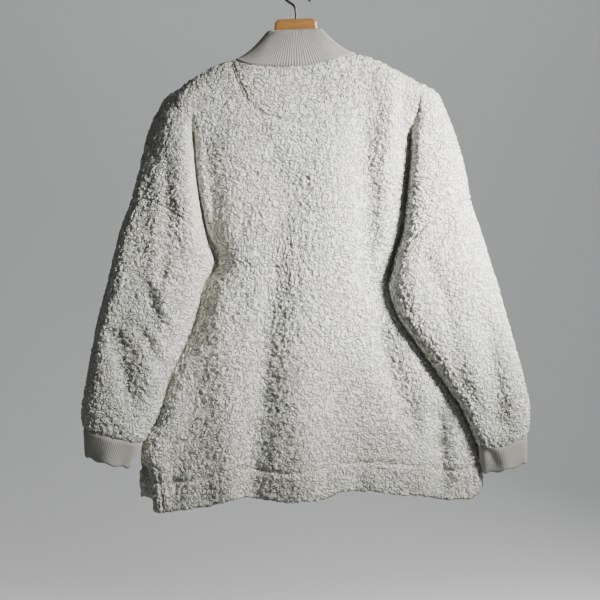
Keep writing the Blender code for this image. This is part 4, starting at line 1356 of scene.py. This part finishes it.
@dataclass
class RibCollar(Tube):
    """A funnel collar of fine rib, drawn in over the hanger's crown."""

    name: str = "rib_collar"
    node: str = "collar"
    rests_on: str = "hanger_wood"
    ribbing: Ribbing = Ribbing(132, 0.8, 3.4, 0.07, 1.5, 0.04)
    wall: float = 3.0
    stride: int = 10
    ring: int = 960
    deep: int = 30
    top_middle: float = -4.1
    top_half: float = 42.5
    top_back: float = -25.0
    top_front: float = 27.0
    left_top: float = -76.0
    right_top: float = -72.0
    back_dip: float = -2.5
    front_drop: float = -52.0
    round_power: float = 0.62
    dip_power: float = 1.3
    side_rise: float = 0.6
    flat: tuple[float, float] = (0.38, 0.14)
    area: float = 0.03
    held: str = "gathered"
    slot: Slot = Slot.RIB

    def place(self, column: Array, row: Array) -> Array:
        """Points of the collar, from the neck seam up to its folded edge."""
        form = self.form
        across = np.cos(math.pi * column)
        deep = np.abs(np.sin(math.pi * column))
        back = column < 1
        middle = form.centre_neck
        base_x = middle + across * np.where(across > 0, form.neck_right - middle,
                                            middle - form.neck_left)
        base_z = np.where(back, form.neck_z[Face.BACK](base_x),
                          form.neck_z[Face.FRONT](base_x))
        base_y = np.where(back, form.cloth_y(Face.BACK, base_x, base_z),
                          form.cloth_y(Face.FRONT, base_x, base_z))
        top_x = self.top_middle + self.top_half * across
        top_y = np.where(back, self.top_back, self.top_front) * deep ** self.round_power
        side_z = blend(self.left_top, self.right_top, (1 + across) / 2)
        dip = np.where(back, self.back_dip, self.front_drop)
        top_z = side_z + dip * deep ** self.dip_power
        rise = 1 + self.side_rise * across ** 2
        return np.stack([blend(base_x, top_x, row), blend(base_y, top_y, row),
                         blend(base_z, top_z, row ** rise)], axis=-1)

    def relief(self, base: Array, column: Array, row: Array) -> Relief:
        """Raise the wales."""
        return self.ribbing.relief(column, row, self.wall)


@dataclass
class HalfMoon(Garment):
    """A half-moon of fleece sewn onto the back below the neck, inside its edge."""

    name: str = "fleece_half_moon"
    node: str = "neck_half_moon"
    wall: float = 1.2
    above_back: float = 0.3
    edge_roll: tuple[float, float] = (2.6, 2.4)
    below_neck: float = 4.0
    sewn_in: float = 3.6
    sewn_wide: float = 1.7
    sewn_deep: float = 2.2
    # How much shade is painted along the half-moon's sewn groove
    sewn_painted_shade: float = 1.1
    wide: int = 120
    tall: int = 60
    flat: tuple[float, float] = (0.21, 0.10)
    area: float = 0.017
    held: str = "laid"
    rests_on: str = "fleece_back"

    def inward(self) -> int:
        """Which way round the grid is wound."""
        return int(Face.BACK)

    def lines(self) -> tuple[Array, Array]:
        """Columns -1 to 1 across the piece and rows 0 to 1 up it."""
        return np.linspace(-1, 1, self.wide + 1), np.linspace(0, 1, self.tall + 1)

    def place(self, column: Array, row: Array) -> Array:
        """Points of the half-moon, on the back."""
        left, right = HALF_MOON_LINE[0][0], HALF_MOON_LINE[-1][0]
        x = blend(left, right, 0.5 + 0.5 * np.sin(column * math.pi / 2))
        bottom = SmoothCurve(HALF_MOON_LINE, 1)(x)
        z = blend(bottom, self.form.panel_top(Face.BACK, x) - self.below_neck, row)
        return np.stack([x, self.form.cloth_y(Face.BACK, x, z), z], axis=-1)

    def relief(self, base: Array, column: Array, row: Array) -> Relief:
        """Raise the pile, and sink the stitching along the sewn edge."""
        edge = np.maximum(half_moon_depth(base[..., 0], base[..., 2]), 0.0)
        height, full = self.pile.relief(base)
        sewn = np.exp(-((edge - self.sewn_in) / self.sewn_wide) ** 2)
        lift = self.above_back + height + rolled_in(edge, *self.edge_roll)
        lift = lift - self.sewn_deep * sewn
        # The pile mark is lowered along the stitching: painted shade in its groove
        marks = {"pile": np.clip(full - self.sewn_painted_shade * sewn, 0, 1),
                 "flat": flattened(base[..., 0], base[..., 2])}
        return Relief(lift, np.array(self.wall), marks)


@dataclass(frozen=True)
class HangerDress:
    """Finishes for the hanger's two solids, whose shapes are kept."""

    wood_node: str = "hanger_wood"
    hook_node: str = "hook_wire"

    def dress(self) -> None:
        """Give the board and the wire their finishes."""
        for node, finish in ((self.wood_node, WoodFinish()), (self.hook_node, HookFinish())):
            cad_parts[node].material_slots[0].material = finish.material()


@dataclass
class Studio:
    """A pale sweep of floor and backdrop, soft light, and the camera."""

    floor_z: float = -1.32
    front_y: float = -7.0
    back_y: float = 4.2
    top_z: float = 4.0
    bend: float = 1.6
    bend_steps: int = 12
    half_wide: float = 9.0
    picture_wide: float = 0.96
    picture_middle: tuple[float, float] = (0.0048, -0.5104)
    distance: float = 3.4
    cloth_y: float = -0.03
    sensor: float = 36.0

    def sweep(self) -> None:
        """Make the floor and the backdrop in one curved sheet."""
        line = [(self.front_y, self.floor_z), (self.back_y - self.bend, self.floor_z)]
        for step in range(1, self.bend_steps + 1):
            angle = step / self.bend_steps * math.pi / 2
            line.append((self.back_y - self.bend + self.bend * math.sin(angle),
                         self.floor_z + self.bend * (1 - math.cos(angle))))
        line.append((self.back_y, self.top_z))
        mesh = bmesh.new()
        rows = [[mesh.verts.new((x, y, z)) for y, z in line]
                for x in (-self.half_wide, self.half_wide)]
        for a, b, c, d in zip(rows[0], rows[1], rows[1][1:], rows[0][1:]):
            mesh.faces.new((a, b, c, d))
        data = bpy.data.meshes.new("studio_sweep")
        mesh.to_mesh(data)
        mesh.free()
        data.materials.append(StageFinish("studio_paper", (0.62, 0.63, 0.63)).material())
        data.shade_smooth()
        sweep = bpy.data.objects.new("studio_sweep", data)
        bpy.context.scene.collection.objects.link(sweep)

    @staticmethod
    def lamp(name: str, place: Place, aim: Place, size: float, power: float,
             colour: Colour) -> bpy.types.AreaLight:
        """Put up a square soft light.

        Args:
            name: the light's name.
            place: where it stands.
            aim: the point it faces.
            size: the length of its side.
            power: its power in watts.
            colour: its colour.

        Returns:
            The light's data.
        """
        data = bpy.data.lights.new(name, "AREA")
        data.shape = "SQUARE"
        data.size = size
        data.energy = power
        data.color = colour
        lamp = bpy.data.objects.new(name, data)
        lamp.location = place
        way = np.array(aim) - np.array(place)
        flat = math.hypot(way[0], way[1])
        lamp.rotation_euler = (math.atan2(flat, -way[2]), 0.0,
                               math.atan2(-way[0], way[1]))
        bpy.context.scene.collection.objects.link(lamp)
        return data

    def lights(self) -> None:
        """Light from the right, a weak fill, a lamp for the front, and a pale surround."""
        middle = (0.0, 0.0, -0.45)
        key = self.lamp("key", (1.15, -0.82, 0.10), (0.25, 0.0, -0.35), 0.4, 7.2,
                        (1.0, 0.985, 0.96))
        key.spread = math.radians(41.0)
        self.lamp("fill", (0.3, -3.0, 0.9), middle, 1.2, 3.2, (0.96, 0.985, 1.0))
        self.lamp("front", (1.5, 2.3, 0.5), middle, 1.0, 60.0, (1.0, 0.985, 0.96))
        self.lamp("backdrop", (0.0, 1.4, 1.6), (0.0, 4.2, -0.6), 2.5, 60.0, (1.0, 1.0, 1.0))
        world = bpy.data.worlds.new("studio_air")
        world.use_nodes = True
        shade = world.node_tree.nodes["Background"]
        shade.inputs["Color"].default_value = (0.93, 0.97, 1.0, 1)
        shade.inputs["Strength"].default_value = 0.075
        bpy.context.scene.world = world

    def camera(self) -> None:
        """Aim a long lens square at the garment's back."""
        data = bpy.data.cameras.new("camera")
        data.sensor_width = self.sensor
        data.lens = self.sensor * self.distance / self.picture_wide
        data.clip_end = 60.0
        camera = bpy.data.objects.new("camera", data)
        x, z = self.picture_middle
        camera.location = (x, self.cloth_y - self.distance, z)
        camera.rotation_euler = (math.pi / 2, 0.0, 0.0)
        bpy.context.scene.collection.objects.link(camera)
        bpy.context.scene.camera = camera

    def build(self) -> None:
        """Put up the whole studio."""
        self.sweep()
        self.lights()
        self.camera()


def main() -> None:
    """Build each sub-assembly in order and report its pieces."""
    logging.basicConfig(level=logging.INFO, format="%(name)s: %(message)s")
    form = HangingForm()
    pile = CurlyPile()
    fleece = FleeceFinish().material()
    collar_rib = RibFinish("collar_fine_rib", (0.26, 0.25, 0.235), (0.425, 0.41, 0.39)
                           ).material()
    cuff_rib = RibFinish("cuff_fine_rib", (0.35, 0.345, 0.315), (0.45, 0.445, 0.41)).material()
    cloth = (form, pile, fleece)
    pieces = [
        BodyPanel(*cloth),
        BodyPanel(*cloth, face=Face.FRONT, name="fleece_front", node="front_panel", area=0.44,
                  body_columns=78, outer_columns=36, low_rows=138, seam_rows=96,
                  top_rows=54),
        HalfMoon(*cloth),
    ]
    for side, word in ((Side.RIGHT, "right"), (Side.LEFT, "left")):
        pieces.append(FleeceSleeve(*cloth, side=side, name=f"fleece_sleeve_{word}",
                                   node=f"sleeve_{word}"))
        pieces.append(RibCuff(form, pile, cuff_rib, side=side, name=f"rib_cuff_{word}",
                              node=f"cuff_{word}"))
    pieces.append(RibCollar(form, pile, collar_rib))
    for piece in pieces:
        made = piece.build()
        LOG.info("%s: %d faces", made.name, len(made.data.polygons))
    HangerDress().dress()
    LOG.info("hanger dressed")
    Studio().build()
    LOG.info("studio up")


if __name__ == "__main__":
    main()
